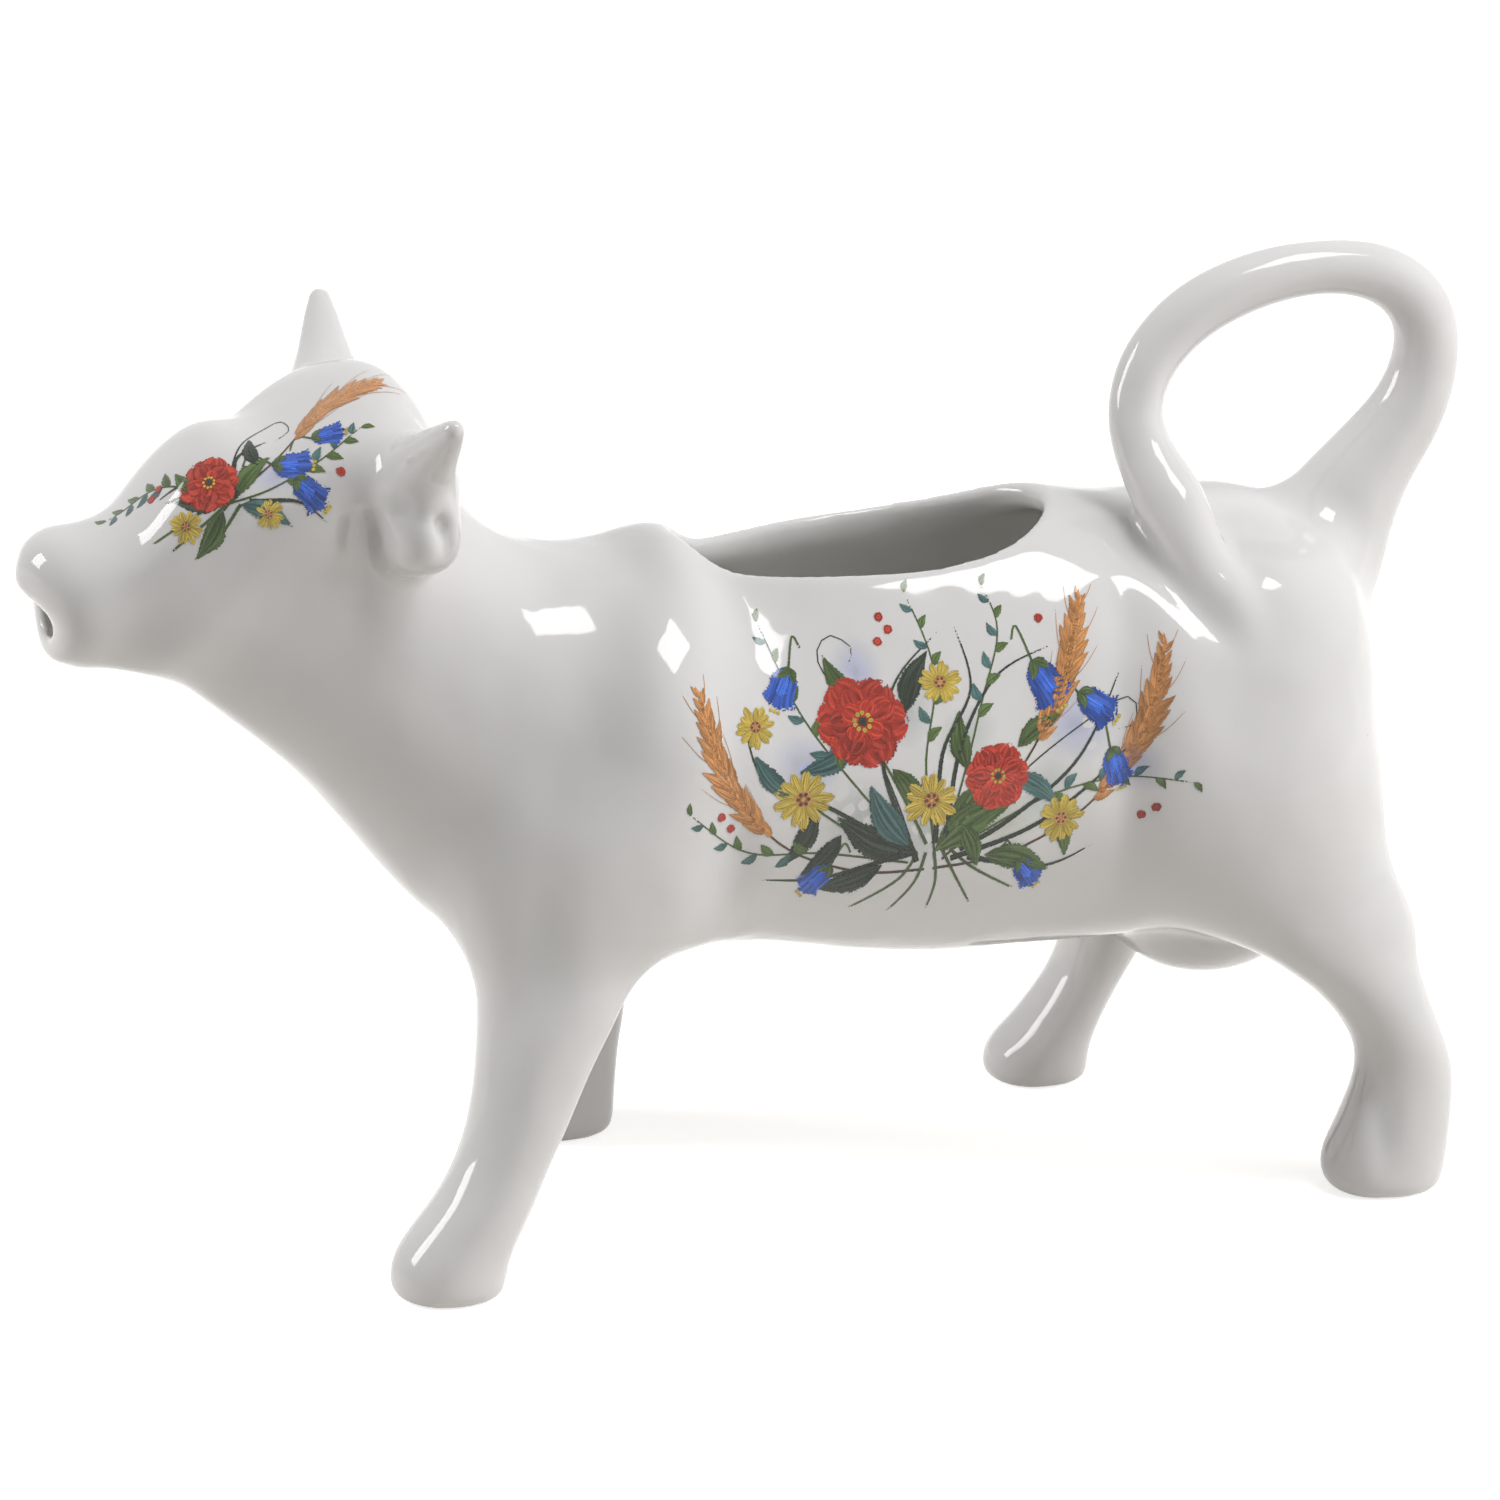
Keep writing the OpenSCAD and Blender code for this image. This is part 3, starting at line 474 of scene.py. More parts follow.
class Form:
    """The raw forms of the castings, in metres, worked out from the panel's sizes."""

    def __init__(self, scene):
        self.trunk = scene.creamer_trunk
        self.head = scene.creamer_head
        self.limbs = scene.creamer_limbs
        t, h, m = self.trunk, self.head, self.limbs
        # Places and heights, as shares of the length and the height of the trunk or of the head
        self.breast_x = -FORE_SHARE * t.trunk_len
        self.trunk_rise = t.back_h - t.belly_h
        self.head_rise = h.poll_h - t.belly_h
        self.rump_x = self.breast_x + t.trunk_len
        self.hole_x = self.breast_x + 0.447 * t.trunk_len
        self.loop_x = self.breast_x + 0.75 * t.trunk_len
        self.udder_x = self.breast_x + 0.835 * t.trunk_len
        self.mouth_z = t.belly_h + 0.665 * self.head_rise
        self.muzzle_x = self.breast_x - 0.957 * h.head_len
        self.notch_z = t.belly_h + 0.658 * self.head_rise
        self.horn_x = self.breast_x - 0.122 * h.head_len
        self.horn_tip_r = HORN_TIP_SHARE * h.horn_d
        self.ear_x = self.breast_x - 0.157 * h.head_len
        self.ear_z = t.belly_h + 0.817 * self.head_rise

    def stations(self):
        t, h = self.trunk, self.head
        rows = []
        for a, b, c, d, half, *shape in TRUNK_SHARES:
            rows.append((self.breast_x + a * t.trunk_len, t.belly_h + b * self.trunk_rise,
                         self.breast_x + c * t.trunk_len, t.belly_h + d * self.trunk_rise,
                         half * t.trunk_w / 2, *shape))
        for a, b, c, d, half, *shape in HEAD_SHARES:
            rows.append((self.breast_x - a * h.head_len, t.belly_h + b * self.head_rise,
                         self.breast_x - c * h.head_len, t.belly_h + d * self.head_rise,
                         half * h.brow_w / 2, *shape))
        return rows

    def seam_ring(self):
        """Top and bottom of the ring where the trunk meets the head."""
        row = self.stations()[len(TRUNK_SHARES) - 1]
        return np.array([row[0], 0, row[1]]), np.array([row[2], 0, row[3]])

    def skin(self, steps=8, sides=144):
        """The outer skin of trunk, neck and head: eggs made of two half superellipses."""
        s = smooth_rows(self.stations(), steps, steps // 2)
        top = np.stack([s[:, 0], 0 * s[:, 0], s[:, 1]], -1)
        bottom = np.stack([s[:, 2], 0 * s[:, 2], s[:, 3]], -1)
        tall = np.linalg.norm(top - bottom, axis=1)[:, None]
        up = (top - bottom) / tall
        middle = bottom + up * tall * s[:, 5:6]
        a = 2 * np.pi * (np.arange(sides) + 0.5)[None, :] / sides
        power = 2 / s[:, 6:7]
        lift = signed_power(np.sin(a), power) * tall * np.where(np.sin(a) > 0, 1 - s[:, 5:6], s[:, 5:6])
        rings = middle[:, None, :] + up[:, None, :] * lift[:, :, None]
        drawn_in = 1 - s[:, 7:8] * np.maximum(np.sin(a), 0) ** 2
        rings[:, :, 1] += signed_power(np.cos(a), power) * s[:, 4:5] * drawn_in
        return closed_loft(rings)

    def leg(self, name, steps=6, sides=72):
        m = self.limbs
        x = {"front_left_leg": self.breast_x - m.front_left_lead,
             "front_right_leg": self.breast_x + m.front_right_lag,
             "rear_left_leg": self.rump_x - m.rear_left_inset,
             "rear_right_leg": self.rump_x - m.rear_right_inset}[name]
        side = -1 if "left" in name else 1
        rows = smooth_rows(LEG_SHARES[name], steps, steps // 2)
        a = 2 * np.pi * np.arange(sides)[None, :] / sides
        long_way = signed_power(np.cos(a), 2 / LEG_SQUARENESS) * rows[:, 2:3] * m.hoof_len / 2
        wide_way = signed_power(np.sin(a), 2 / LEG_SQUARENESS) * rows[:, 3:4] * m.hoof_w / 2
        rings = np.stack([x + rows[:, 1:2] * m.leg_h + long_way,
                          side * rows[:, 4:5] * m.stance_w / 2 + wide_way,
                          rows[:, 0:1] * m.leg_h + 0 * a], -1)
        return closed_loft(rings)

    def tail(self, steps=8, sides=64):
        """The tail, swept by geometry nodes along its middle line."""
        m, t = self.limbs, self.trunk
        rows = [(self.loop_x + a * m.loop_len, b * t.trunk_w / 2,
                 t.back_h + c * (m.loop_h - m.tail_d / 2), d) for a, b, c, d in TAIL_SHARES]
        rows = smooth_rows(rows, steps, steps // 2)
        line = bpy.data.meshes.new("tail_line")
        line.from_pydata(rows[:, :3].tolist(), [(i, i + 1) for i in range(len(rows) - 1)], [])
        put_values(line, "thick", rows[:, 3])
        obj = bpy.data.objects.new("tail_line", line)
        collection().objects.link(obj)
        mesh = evaluated(obj, tail_tree(), {"Thickness": m.tail_d, "Sides": sides, "Glaze": glaze_material()})
        mesh.calc_loop_triangles()
        points = read_values(mesh.vertices, "co", 3)
        triangles = read_values(mesh.loop_triangles, "vertices", 3, np.int32)
        bpy.data.meshes.remove(mesh)
        return points, np.zeros((0, 4), int), triangles

    def lump(self, sizes, centre, square=2.0, rings=40, sides=64, **turns):
        """A rounded lump of three sizes, turned, then set at its centre. It can be squarer than a ball."""
        b = np.radians(np.linspace(-89, 89, rings))[:, None]
        a = 2 * np.pi * np.arange(sides)[None, :] / sides
        plan = signed_power(np.cos(a), 2 / square), signed_power(np.sin(a), 2 / square)
        wide, tall = signed_power(np.cos(b), 2 / square), signed_power(np.sin(b), 2 / square)
        ball = np.stack([wide * plan[0], wide * plan[1], tall + 0 * a], -1)
        points, quads, triangles = closed_loft(ball * np.array(sizes) / 2)
        return turned(points, **turns) + np.array(centre), quads, triangles

    def udder(self):
        m, t = self.limbs, self.trunk
        return self.lump((m.udder_len, m.udder_w, m.udder_w),
                         (self.udder_x, 0, t.belly_h + m.udder_w / 2 - m.udder_drop))

    def ear(self, side):
        h = self.head
        sizes = np.array(EAR_SHARES) * (h.ear_w, h.ear_len, h.ear_h)
        centre = (self.ear_x, side * (h.brow_w / 2 + 0.1 * h.ear_len), self.ear_z)
        return self.lump(sizes, centre, square=EAR_SQUARENESS,
                         rotate_z=-side * EAR_TURN, rotate_x=side * EAR_TILT)

    def ear_cup(self, side):
        """The hollow of an ear, as the lump that is cut out of it."""
        h = self.head
        sizes = np.array(EAR_CUP_SHARES) * (h.ear_w, h.ear_cup_d, h.ear_h)
        x, y, z = np.array(EAR_CUP_PLACE) * (h.ear_w, h.ear_len, h.ear_h)
        centre = (self.ear_x + x, side * (h.brow_w / 2 + y), self.ear_z + z)
        return self.lump(sizes, centre, rotate_x=side * EAR_TILT)

    def horn(self, side, sides=64):
        h, wall = self.head, self.trunk.wall
        tip = self.horn_tip_r
        turns = np.radians(np.linspace(0, 89, 8))
        profile = [(h.horn_d * HORN_FOOT_SHARE, 0)]
        profile += [(h.horn_d * r, wall + h.horn_len * z) for r, z in HORN_SHARES]
        profile += [(tip * math.cos(a), wall + h.horn_len - tip + tip * math.sin(a)) for a in turns]
        profile = smooth_rows(profile, 4, 2)
        a = 2 * np.pi * np.arange(sides)[None, :] / sides
        radius, height = profile[:, 0:1], profile[:, 1:2]
        rings = np.stack([radius * np.cos(a), radius * np.sin(a), height + 0 * a], -1)
        points, quads, triangles = closed_loft(rings)
        points = points - np.array([0, 0, wall + h.horn_len])
        sweep = HORN_SWEEP["left" if side < 0 else "right"]
        drop = h.left_horn_drop if side < 0 else 0
        points = turned(points, rotate_y=90 - HORN_RISE, rotate_z=side * (90 - sweep))
        centre = (self.horn_x, side * (h.horn_span / 2 - tip), h.poll_h + tip - drop)
        return points + np.array(centre), quads, triangles


def round_union(a, b, r):
    """Union of two distance fields with the crease between them filled to radius r."""
    u = np.maximum(r - a, 0)
    v = np.maximum(r - b, 0)
    return np.maximum(r, np.minimum(a, b)) - np.sqrt(u * u + v * v)


def round_cut(a, b, r):
    """Field a with b cut out of it, and the cut's edge rounded to radius r."""
    u = np.maximum(r + a, 0)
    v = np.maximum(r - b, 0)
    return np.minimum(-r, np.maximum(a, -b)) + np.sqrt(u * u + v * v)


SIDES = ((-1, "left"), (1, "right"))


class Clay:
    """The joined and smoothed body as a distance field, and the casting that each bit of it belongs to."""
    BAND = 14  # steps of the grid on either side of a surface in which distances are kept

    def __init__(self, form, voxel):
        self.form = form
        self.step = voxel
        self.low = np.floor(LOW / voxel).astype(int) - 4
        self.shape = tuple(np.ceil(HIGH / voxel).astype(int) + 5 - self.low)
        axes = [(self.low[k] + np.arange(self.shape[k])) * voxel for k in range(3)]
        self.x, self.y, self.z = np.meshgrid(*axes, indexing="ij", sparse=True)
        self.transform = openvdb.createLinearTransform(voxelSize=voxel)
        self.build()

    def field(self, solid):
        """Distance from the surface of a closed solid, below zero inside it."""
        points, quads, triangles = solid
        faces = {"quads": quads.astype(np.uint32)} if len(quads) else {}
        grid = openvdb.FloatGrid.createLevelSetFromPolygons(
            points.astype(np.float32), triangles=triangles.astype(np.uint32),
            transform=self.transform, halfWidth=self.BAND, **faces)
        values = np.full(self.shape, self.BAND * self.step, np.float32)
        grid.copyToArray(values, ijk=tuple(int(v) for v in self.low))
        return values

    def oval(self, p, q, a, b, taper=0.0):
        """Distance from a column with an oval section of half axes a and b, wider towards +p with a taper."""
        b = b * (1 + taper * np.clip(p / a, -1, 1))
        near = np.sqrt((p / a) ** 2 + (q / b) ** 2) + 1e-9
        steep = np.sqrt((p / a ** 2) ** 2 + (q / b ** 2) ** 2) + 1e-9
        return (near * (near - 1) / steep).astype(np.float32)

    def stroked(self, values, strokes, mirrored=True):
        """A distance field with thumb strokes pressed into it, or clay added to it."""
        for x, y, z, *reach, depth in strokes.values():
            for side in sorted({y, -y if mirrored else y}):
                bell = [np.exp(-((axis - place / 1000) * 1000 / spread) ** 2) for axis, place, spread
                        in zip((self.x, self.y, self.z), (x, side, z), reach)]
                values = values + (depth / 1000 * bell[0] * bell[1] * bell[2]).astype(np.float32)
        return values

    def build(self):
        form = self.form
        self.casing = self.field(form.skin())
        skin = self.stroked(self.casing, SKIN_STROKES)
        top, bottom = form.seam_ring()
        up = (top - bottom) / np.linalg.norm(top - bottom)
        seam = (self.x - top[0]) * -up[2] + (self.z - top[2]) * up[0] + 0 * self.y
        raw = self.raw_limbs()
        body = self.hollowed(self.joined(skin, raw), skin)
        self.body = np.maximum(self.blur(body), -self.z)
        self.slope = [g.astype(np.float32) for g in np.gradient(self.body, self.step)]
        self.owner = self.shared_out(skin, seam, raw)
        wide = self.blur(self.blur(self.blur(self.body)))
        slopes = [np.gradient(wide, self.step, axis=k) for k in range(3)]
        self.bend = sum(np.gradient(slope, self.step, axis=k) for k, slope in enumerate(slopes))
        self.net()

    def raw_limbs(self):
        """The fields of all castings but the two shells."""
        form = self.form
        raw = {"udder": self.field(form.udder()), "tail_handle": self.field(form.tail())}
        for side, word in SIDES:
            raw[word + "_ear"] = self.field(form.ear(side))
            raw[word + "_horn"] = self.field(form.horn(side))
        for name in LEG_SHARES:
            raw[name] = self.field(form.leg(name))
        return raw

    def joined(self, skin, raw):
        """Skin and limbs as one lump of clay, with a fillet at each joint and the last thumb strokes."""
        h, m = self.form.head, self.form.limbs
        udder_fillet = 0.4 * m.leg_fillet
        horn_to_ear = 0.6 * h.root_fillet
        cup_round = 0.35 * h.ear_cup_d
        body = skin
        for name in LEG_SHARES:
            body = round_union(body, raw[name], m.leg_fillet)
        body = round_union(body, raw["udder"], udder_fillet)
        # The tail has a fillet at its root and only a crease at its end, and goes from one to the other
        # across this line
        line, reach = self.form.loop_x + 0.45 * m.loop_len, 0.06 * m.loop_len
        rear = 1 / (1 + np.exp((line - self.x) / reach))
        body = round_union(body, raw["tail_handle"], m.tail_crease + (m.tail_fillet - m.tail_crease) * rear)
        for side, word in SIDES:
            horned = round_union(raw[word + "_horn"], raw[word + "_ear"], horn_to_ear)
            body = round_union(body, horned, h.root_fillet)
            body = round_cut(body, self.field(self.form.ear_cup(side)), cup_round)
        return self.stroked(self.stroked(body, BODY_STROKES), LEFT_STROKES, mirrored=False)

    def hollowed(self, body, skin):
        """The lump with the milk space, the filling hole and the mouth cut out of it."""
        form = self.form
        t, h = form.trunk, form.head
        notch_round = 0.4 * h.notch_r
        lip_blend, lip_round = 0.2 * t.wall, 0.1 * t.wall
        notch = np.hypot(self.x - form.muzzle_x, self.z - form.notch_z) - h.notch_r + 0 * self.y
        body = round_cut(body, notch, notch_round)
        chamber_front = form.muzzle_x + 0.22 * h.head_len
        cavity = np.maximum(skin + t.wall, chamber_front - self.x)
        column = self.oval(self.x - form.hole_x, self.y, t.hole_len / 2, t.hole_w / 2, HOLE_TAPER)
        column = np.maximum(column, t.back_h - form.trunk_rise / 2 - self.z)
        body = round_cut(body, round_union(cavity, column, t.rim_round), t.rim_round)
        duct_front, duct_back = form.muzzle_x + 0.07 * h.head_len, form.muzzle_x + h.head_len / 3
        lips = self.oval(self.y, self.z - form.mouth_z, h.lip_w / 2, h.lip_h / 2)
        lips = np.maximum(lips, self.x - duct_front - h.notch_r)
        duct = self.oval(self.y, self.z - form.mouth_z, h.spout_w / 2, h.spout_h / 2)
        duct = np.maximum(duct, np.maximum(duct_front - self.x, self.x - duct_back))
        return round_cut(body, round_union(lips, duct, lip_blend), lip_round)

    def shared_out(self, skin, seam, raw):
        """The number of the casting that each place of the grid belongs to, and 0 outside the clay. Near the
        surface it is the casting that the nearest place on the surface belongs to."""
        owner = self.owners(skin, seam, raw)
        depth = 3 * self.step
        near = np.argwhere((self.body < 0) & (self.body > -depth))
        places = (near + self.low) * self.step
        feet = places - self.body[tuple(near.T)][:, None] * self.normals_at(places)
        at_feet = {name: self.sample(values, feet) for name, values in raw.items()}
        owner[tuple(near.T)] = self.owners(self.sample(skin, feet), self.sample(seam, feet), at_feet)
        owner[self.body >= 0] = 0
        return owner

    def owners(self, skin, seam, raw):
        """The casting that each place belongs to: the skin's own, or the nearest limb outside the skin."""
        owner = np.where(seam < 0, 1, 2).astype(np.int8)
        nearest = np.maximum(skin, 0)
        for number, name in enumerate(CASTINGS[2:], start=3):
            mine = (skin > 0) & (raw[name] < nearest)
            owner[mine] = number
            nearest = np.where(mine, raw[name], nearest)
            if name in ("udder", "left_ear", "right_ear"):
                nearest = np.where(mine & (raw[name] < 0), -1, nearest)
        return owner

    def blur(self, values):
        for axis in range(3):
            ahead = np.roll(values, -1, axis)
            behind = np.roll(values, 1, axis)
            values = 0.5 * values + 0.25 * (ahead + behind)
        return values

    def sample(self, values, points):
        """Values of a grid at points between its nodes."""
        at = points / self.step - self.low
        base = np.clip(np.floor(at).astype(int), 0, np.array(self.shape) - 2)
        part = at - base
        total = 0
        for corner in itertools.product((0, 1), repeat=3):
            weight = np.where(corner, part, 1 - part)
            weight = weight[:, 0] * weight[:, 1] * weight[:, 2]
            total = total + weight * values[tuple((base + corner).T)]
        return total

    def normals_at(self, points):
        n = np.stack([self.sample(g, points) for g in self.slope], -1)
        return n / np.maximum(np.linalg.norm(n, axis=1)[:, None], 1e-9)

    def inside_share(self, points):
        """1 on the wall of the milk space, 0 outside, with a short change over the rim."""
        wall = self.form.trunk.wall
        deep = -self.sample(self.casing, points)
        return np.clip((deep - 0.3 * wall) / (0.5 * wall), 0, 1)

    def settle(self, points):
        """Moves points onto the surface."""
        for _ in range(3):
            off = self.sample(self.body, points)
            points = points - np.clip(off, -self.step, self.step)[:, None] * self.normals_at(points)
        return points

    def land(self, points, out):
        """Moves points that start outside along a line, against the way out, until they meet the surface."""
        points = points.copy()
        for _ in range(60):
            points -= np.maximum(self.sample(self.body, points), 0)[:, None] * 0.9 * out
        return self.settle(points)

    def net(self):
        """A net of quads around every casting. Neighbours share the net where they meet."""
        owner, body = self.owner, self.body
        x, y, z = (size - 1 for size in owner.shape)
        cell_corners = [owner[dx:x + dx, dy:y + dy, dz:z + dz]
                        for dx, dy, dz in itertools.product((0, 1), repeat=3)]
        lowest = np.minimum.reduce(cell_corners)
        cells = np.argwhere(lowest != np.maximum.reduce(cell_corners))
        number = np.full(lowest.shape, -1, np.int32)
        number[tuple(cells.T)] = np.arange(len(cells))
        total, inner = np.zeros((2, len(cells), 3))
        hits, inner_hits = np.zeros((2, len(cells)))
        for axis, u, v in itertools.product(range(3), (0, 1), (0, 1)):
            start = np.zeros(3, int)
            start[(axis + 1) % 3] = u
            start[(axis + 2) % 3] = v
            a = cells + start
            b = a.copy()
            b[:, axis] += 1
            fa, fb = body[tuple(a.T)], body[tuple(b.T)]
            cross = (fa < 0) != (fb < 0)
            t = np.where(cross, fa / np.where(cross, fa - fb, 1), 0)
            place = a.astype(float)
            place[:, axis] += t
            total[cross] += place[cross]
            hits[cross] += 1
            change = (owner[tuple(a.T)] != owner[tuple(b.T)]) & ~cross
            place = a.astype(float)
            place[:, axis] += 0.5
            inner[change] += place[change]
            inner_hits[change] += 1
        outer = hits > 0
        points = np.where(outer[:, None], total / np.maximum(hits, 1)[:, None],
                          inner / np.maximum(inner_hits, 1)[:, None])
        points = (points + self.low) * self.step
        points[outer] = self.settle(points[outer])
        self.outer = outer
        self.points = np.clip(points, LOW, HIGH)
        self.normals = self.normals_at(self.points)
        self.faces = {name: [] for name in CASTINGS}
        self.shows = {name: [] for name in CASTINGS}
        for axis in range(3):
            self.quads_along(axis, number)
        for name in CASTINGS:
            self.faces[name] = np.vstack(self.faces[name])
            self.shows[name] = np.concatenate(self.shows[name])

    def quads_along(self, axis, number):
        owner = self.owner
        behind = [slice(None)] * 3
        ahead = [slice(None)] * 3
        behind[axis] = slice(0, -1)
        ahead[axis] = slice(1, None)
        a, b = owner[tuple(behind)], owner[tuple(ahead)]
        edges = np.argwhere(a != b)
        of_a, of_b = a[tuple(edges.T)], b[tuple(edges.T)]
        u, v = (axis + 1) % 3, (axis + 2) % 3
        around = []
        for du, dv in ((-1, -1), (0, -1), (0, 0), (-1, 0)):
            cell = edges.copy()
            cell[:, u] += du
            cell[:, v] += dv
            around.append(number[tuple(cell.T)])
        quads = np.stack(around, -1)
        open_air = (of_a == 0) | (of_b == 0)
        for index, name in enumerate(CASTINGS, start=1):
            for mine, way in ((of_a == index, 1), (of_b == index, -1)):
                self.faces[name].append(quads[mine][:, ::way])
                self.shows[name].append(open_air[mine])


def collection():
    return bpy.context.scene.collection


def mesh_object(name, points, faces, material):
    """A mesh object at the origin from points and faces that all have the same number of corners."""
    faces = np.asarray(faces)
    mesh = bpy.data.meshes.new(name)
    mesh.vertices.add(len(points))
    mesh.vertices.foreach_set("co", np.asarray(points, np.float32).ravel())
    mesh.loops.add(faces.size)
    mesh.loops.foreach_set("vertex_index", faces.ravel().astype(np.int32))
    mesh.polygons.add(len(faces))
    mesh.polygons.foreach_set("loop_start", np.arange(0, faces.size, faces.shape[1], dtype=np.int32))
    mesh.update(calc_edges=True)
    mesh.validate()
    obj = bpy.data.objects.new(name, mesh)
    collection().objects.link(obj)
    mesh.materials.append(material)
    return obj


def put_values(mesh, name, values):
    attribute = mesh.attributes.new(name, "FLOAT", "POINT")
    attribute.data.foreach_set("value", np.asarray(values, np.float32))


def read_values(items, name, width, kind=np.float32):
    """One property of all items, such as a mesh's points, as rows."""
    values = np.zeros(len(items) * width, kind)
    items.foreach_get(name, values)
    return values.reshape(-1, width)


def shade_smooth(mesh):
    mesh.polygons.foreach_set("use_smooth", np.ones(len(mesh.polygons), bool))


def finish_piece(obj, *nodes):
    """Sets a finished piece to ride on the jug, and hides the nodes that it stands for."""
    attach(obj, BODY)
    if nodes:
        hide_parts(*nodes)


_shaped = {}


def clay():
    """The joined body, which the operators that cast and print the pieces share. It is shaped again only
    after one of its sizes has changed."""
    scene = bpy.context.scene
    key = [scene.creamer_glaze.voxel]
    for title in ("creamer_trunk", "creamer_head", "creamer_limbs"):
        key += [getattr(getattr(scene, title), name) for name in GROUPS[title].__annotations__]
    key = tuple(key)
    if key not in _shaped:
        _shaped.clear()
        _shaped[key] = Clay(Form(scene), scene.creamer_glaze.voxel)
    return _shaped[key]


def cast(node):
    """One casting as its own closed mesh, with the joined body's smooth shading on what shows."""
    body = clay()
    faces, shows = body.faces[node], body.shows[node]
    used, local = np.unique(faces, return_inverse=True)
    faces = local.reshape(faces.shape)
    points, normals = body.points[used], body.normals[used]
    obj = mesh_object(node.replace("_shell", "") + "_casting", points, faces, glaze_material())
    mesh = obj.data
    shade_smooth(mesh)
    corner = points[faces]
    flat = np.cross(corner[:, 2] - corner[:, 0], corner[:, 3] - corner[:, 1])
    flat /= np.maximum(np.linalg.norm(flat, axis=1)[:, None], 1e-12)
    facing = np.sign((normals[faces] * flat[:, None, :]).sum(2) + 1e-9)[:, :, None]
    hidden = np.where(body.outer[used][faces][:, :, None], normals[faces] * facing, flat[:, None, :])
    loops = np.where(shows[:, None, None], normals[faces], hidden)
    mesh.normals_split_custom_set(loops.reshape(-1, 3).tolist())
    # The bend sets the pooled glaze and the painted shade in hollows and creases.
    put_values(mesh, "bend", body.sample(body.bend, points))
    # The inside share whitens the wall of the milk space as painted light.
    put_values(mesh, "inside", body.inside_share(points))
    finish_piece(obj, node)


def built_once(store, name):
    """Lets a function build the data of this name only where it isn't there yet."""
    def keep(build):
        @functools.wraps(build)
        def find():
            return getattr(bpy.data, store).get(name) or build(name)
        return find
    return keep


class Nodes:
    """Short hand for building a node tree. Each input is given a value, or a socket that is linked to it."""

    def __init__(self, tree):
        self.tree = tree
        tree.nodes.clear()

    def add(self, kind, inputs=None, **settings):
        node = self.tree.nodes.new(kind)
        for key, value in settings.items():
            setattr(node, key, value)
        for key, value in (inputs or {}).items():
            if isinstance(value, bpy.types.NodeSocket):
                self.tree.links.new(value, node.inputs[key])
            else:
                node.inputs[key].default_value = value
        return node

    def link(self, a, b):
        self.tree.links.new(a, b)

    def math(self, operation, *values, **settings):
        return self.add("ShaderNodeMath", dict(enumerate(values)), operation=operation, **settings).outputs[0]

    def vector_math(self, operation, *values):
        return self.add("ShaderNodeVectorMath", dict(enumerate(values)), operation=operation).outputs[0]

    def remap(self, value, before, after):
        """A value taken from one range to another, and kept inside it."""
        titles = ("Value", "From Min", "From Max", "To Min", "To Max")
        return self.add("ShaderNodeMapRange", dict(zip(titles, (value, *before, *after)))).outputs["Result"]

    def noise(self, place, scale, detail):
        node = self.add("ShaderNodeTexNoise", {"Vector": place, "Scale": scale, "Detail": detail})
        return node.outputs["Fac"]

    def mix(self, share, a, b, kind="RGBA"):
        """a where the share is 0, and b where it is 1."""
        return self.add("ShaderNodeMix", {"Factor": share, "A": a, "B": b}, data_type=kind).outputs["Result"]

    def attribute(self, name, output="Fac"):
        return self.add("ShaderNodeAttribute", attribute_name=name).outputs[output]

    def named(self, name, kind="FLOAT"):
        node = self.add("GeometryNodeInputNamedAttribute", {"Name": name}, data_type=kind)
        return node.outputs["Attribute"]


def node_group(name, kind, inputs, outputs):
    """An empty node group with its sockets; gives the tree, its nodes, its input and its output."""
    tree = bpy.data.node_groups.new(name, kind)
    for in_out, sockets in (("INPUT", inputs), ("OUTPUT", outputs)):
        for title, socket in sockets.items():
            tree.interface.new_socket(title, in_out=in_out, socket_type="NodeSocket" + socket)
    n = Nodes(tree)
    return tree, n, n.add("NodeGroupInput"), n.add("NodeGroupOutput")


def new_material(name):
    """An empty material; gives it, its nodes, its output and the place on the piece."""
    material = bpy.data.materials.new(name)
    material.use_nodes = True
    n = Nodes(material.node_tree)
    return material, n, n.add("ShaderNodeOutputMaterial"), n.add("ShaderNodeTexCoord").outputs["Object"]


@built_once("node_groups", "glaze waves")
def glaze_waves(name):
    """Group: the waves of a fired glaze as a height, and its few dust specks as a mask."""
    tree, n, given, out = node_group(name, "ShaderNodeTree", {"Place": "Vector"},
                                     {"Height": "Float", "Speck": "Float"})
    place = given.outputs["Place"]
    quick = n.math("MULTIPLY", n.noise(place, 260.0, 1.0), 0.13)
    n.link(n.math("ADD", n.noise(place, 95.0, 1.0), quick), out.inputs["Height"])
    pits = n.add("ShaderNodeTexVoronoi", {"Vector": place, "Scale": 150.0}, feature="F1")
    pit = n.remap(pits.outputs["Distance"], (0.02, 0.05), (1.0, 0.0))
    own = n.add("ShaderNodeSeparateColor", {"Color": pits.outputs["Color"]}).outputs["Red"]
    n.link(n.math("MULTIPLY", pit, n.math("GREATER_THAN", own, 0.93)), out.inputs["Speck"])
    return tree


@built_once("node_groups", "glaze depth")
def glaze_pooling_and_shade(name):
    """Group: how thick the glaze lies from the bend of the surface, which also paints shade into hollows and
    creases, and slow clouds.
    """
    tree, n, given, out = node_group(name, "ShaderNodeTree", {"Place": "Vector", "Bend": "Float"},
                                     {"Thick": "Float"})
    # Pooled glaze and painted shade: the more the surface bends inwards, the greyer; edges stay whiter.
    thick = n.remap(given.outputs["Bend"], (60.0, -260.0), (0.0, 1.0))
    cloud = n.remap(n.noise(given.outputs["Place"], 45.0, 2.0), (0.35, 0.65), (0.0, 0.18))
    n.link(n.math("ADD", thick, cloud, use_clamp=True), out.inputs["Thick"])
    return tree


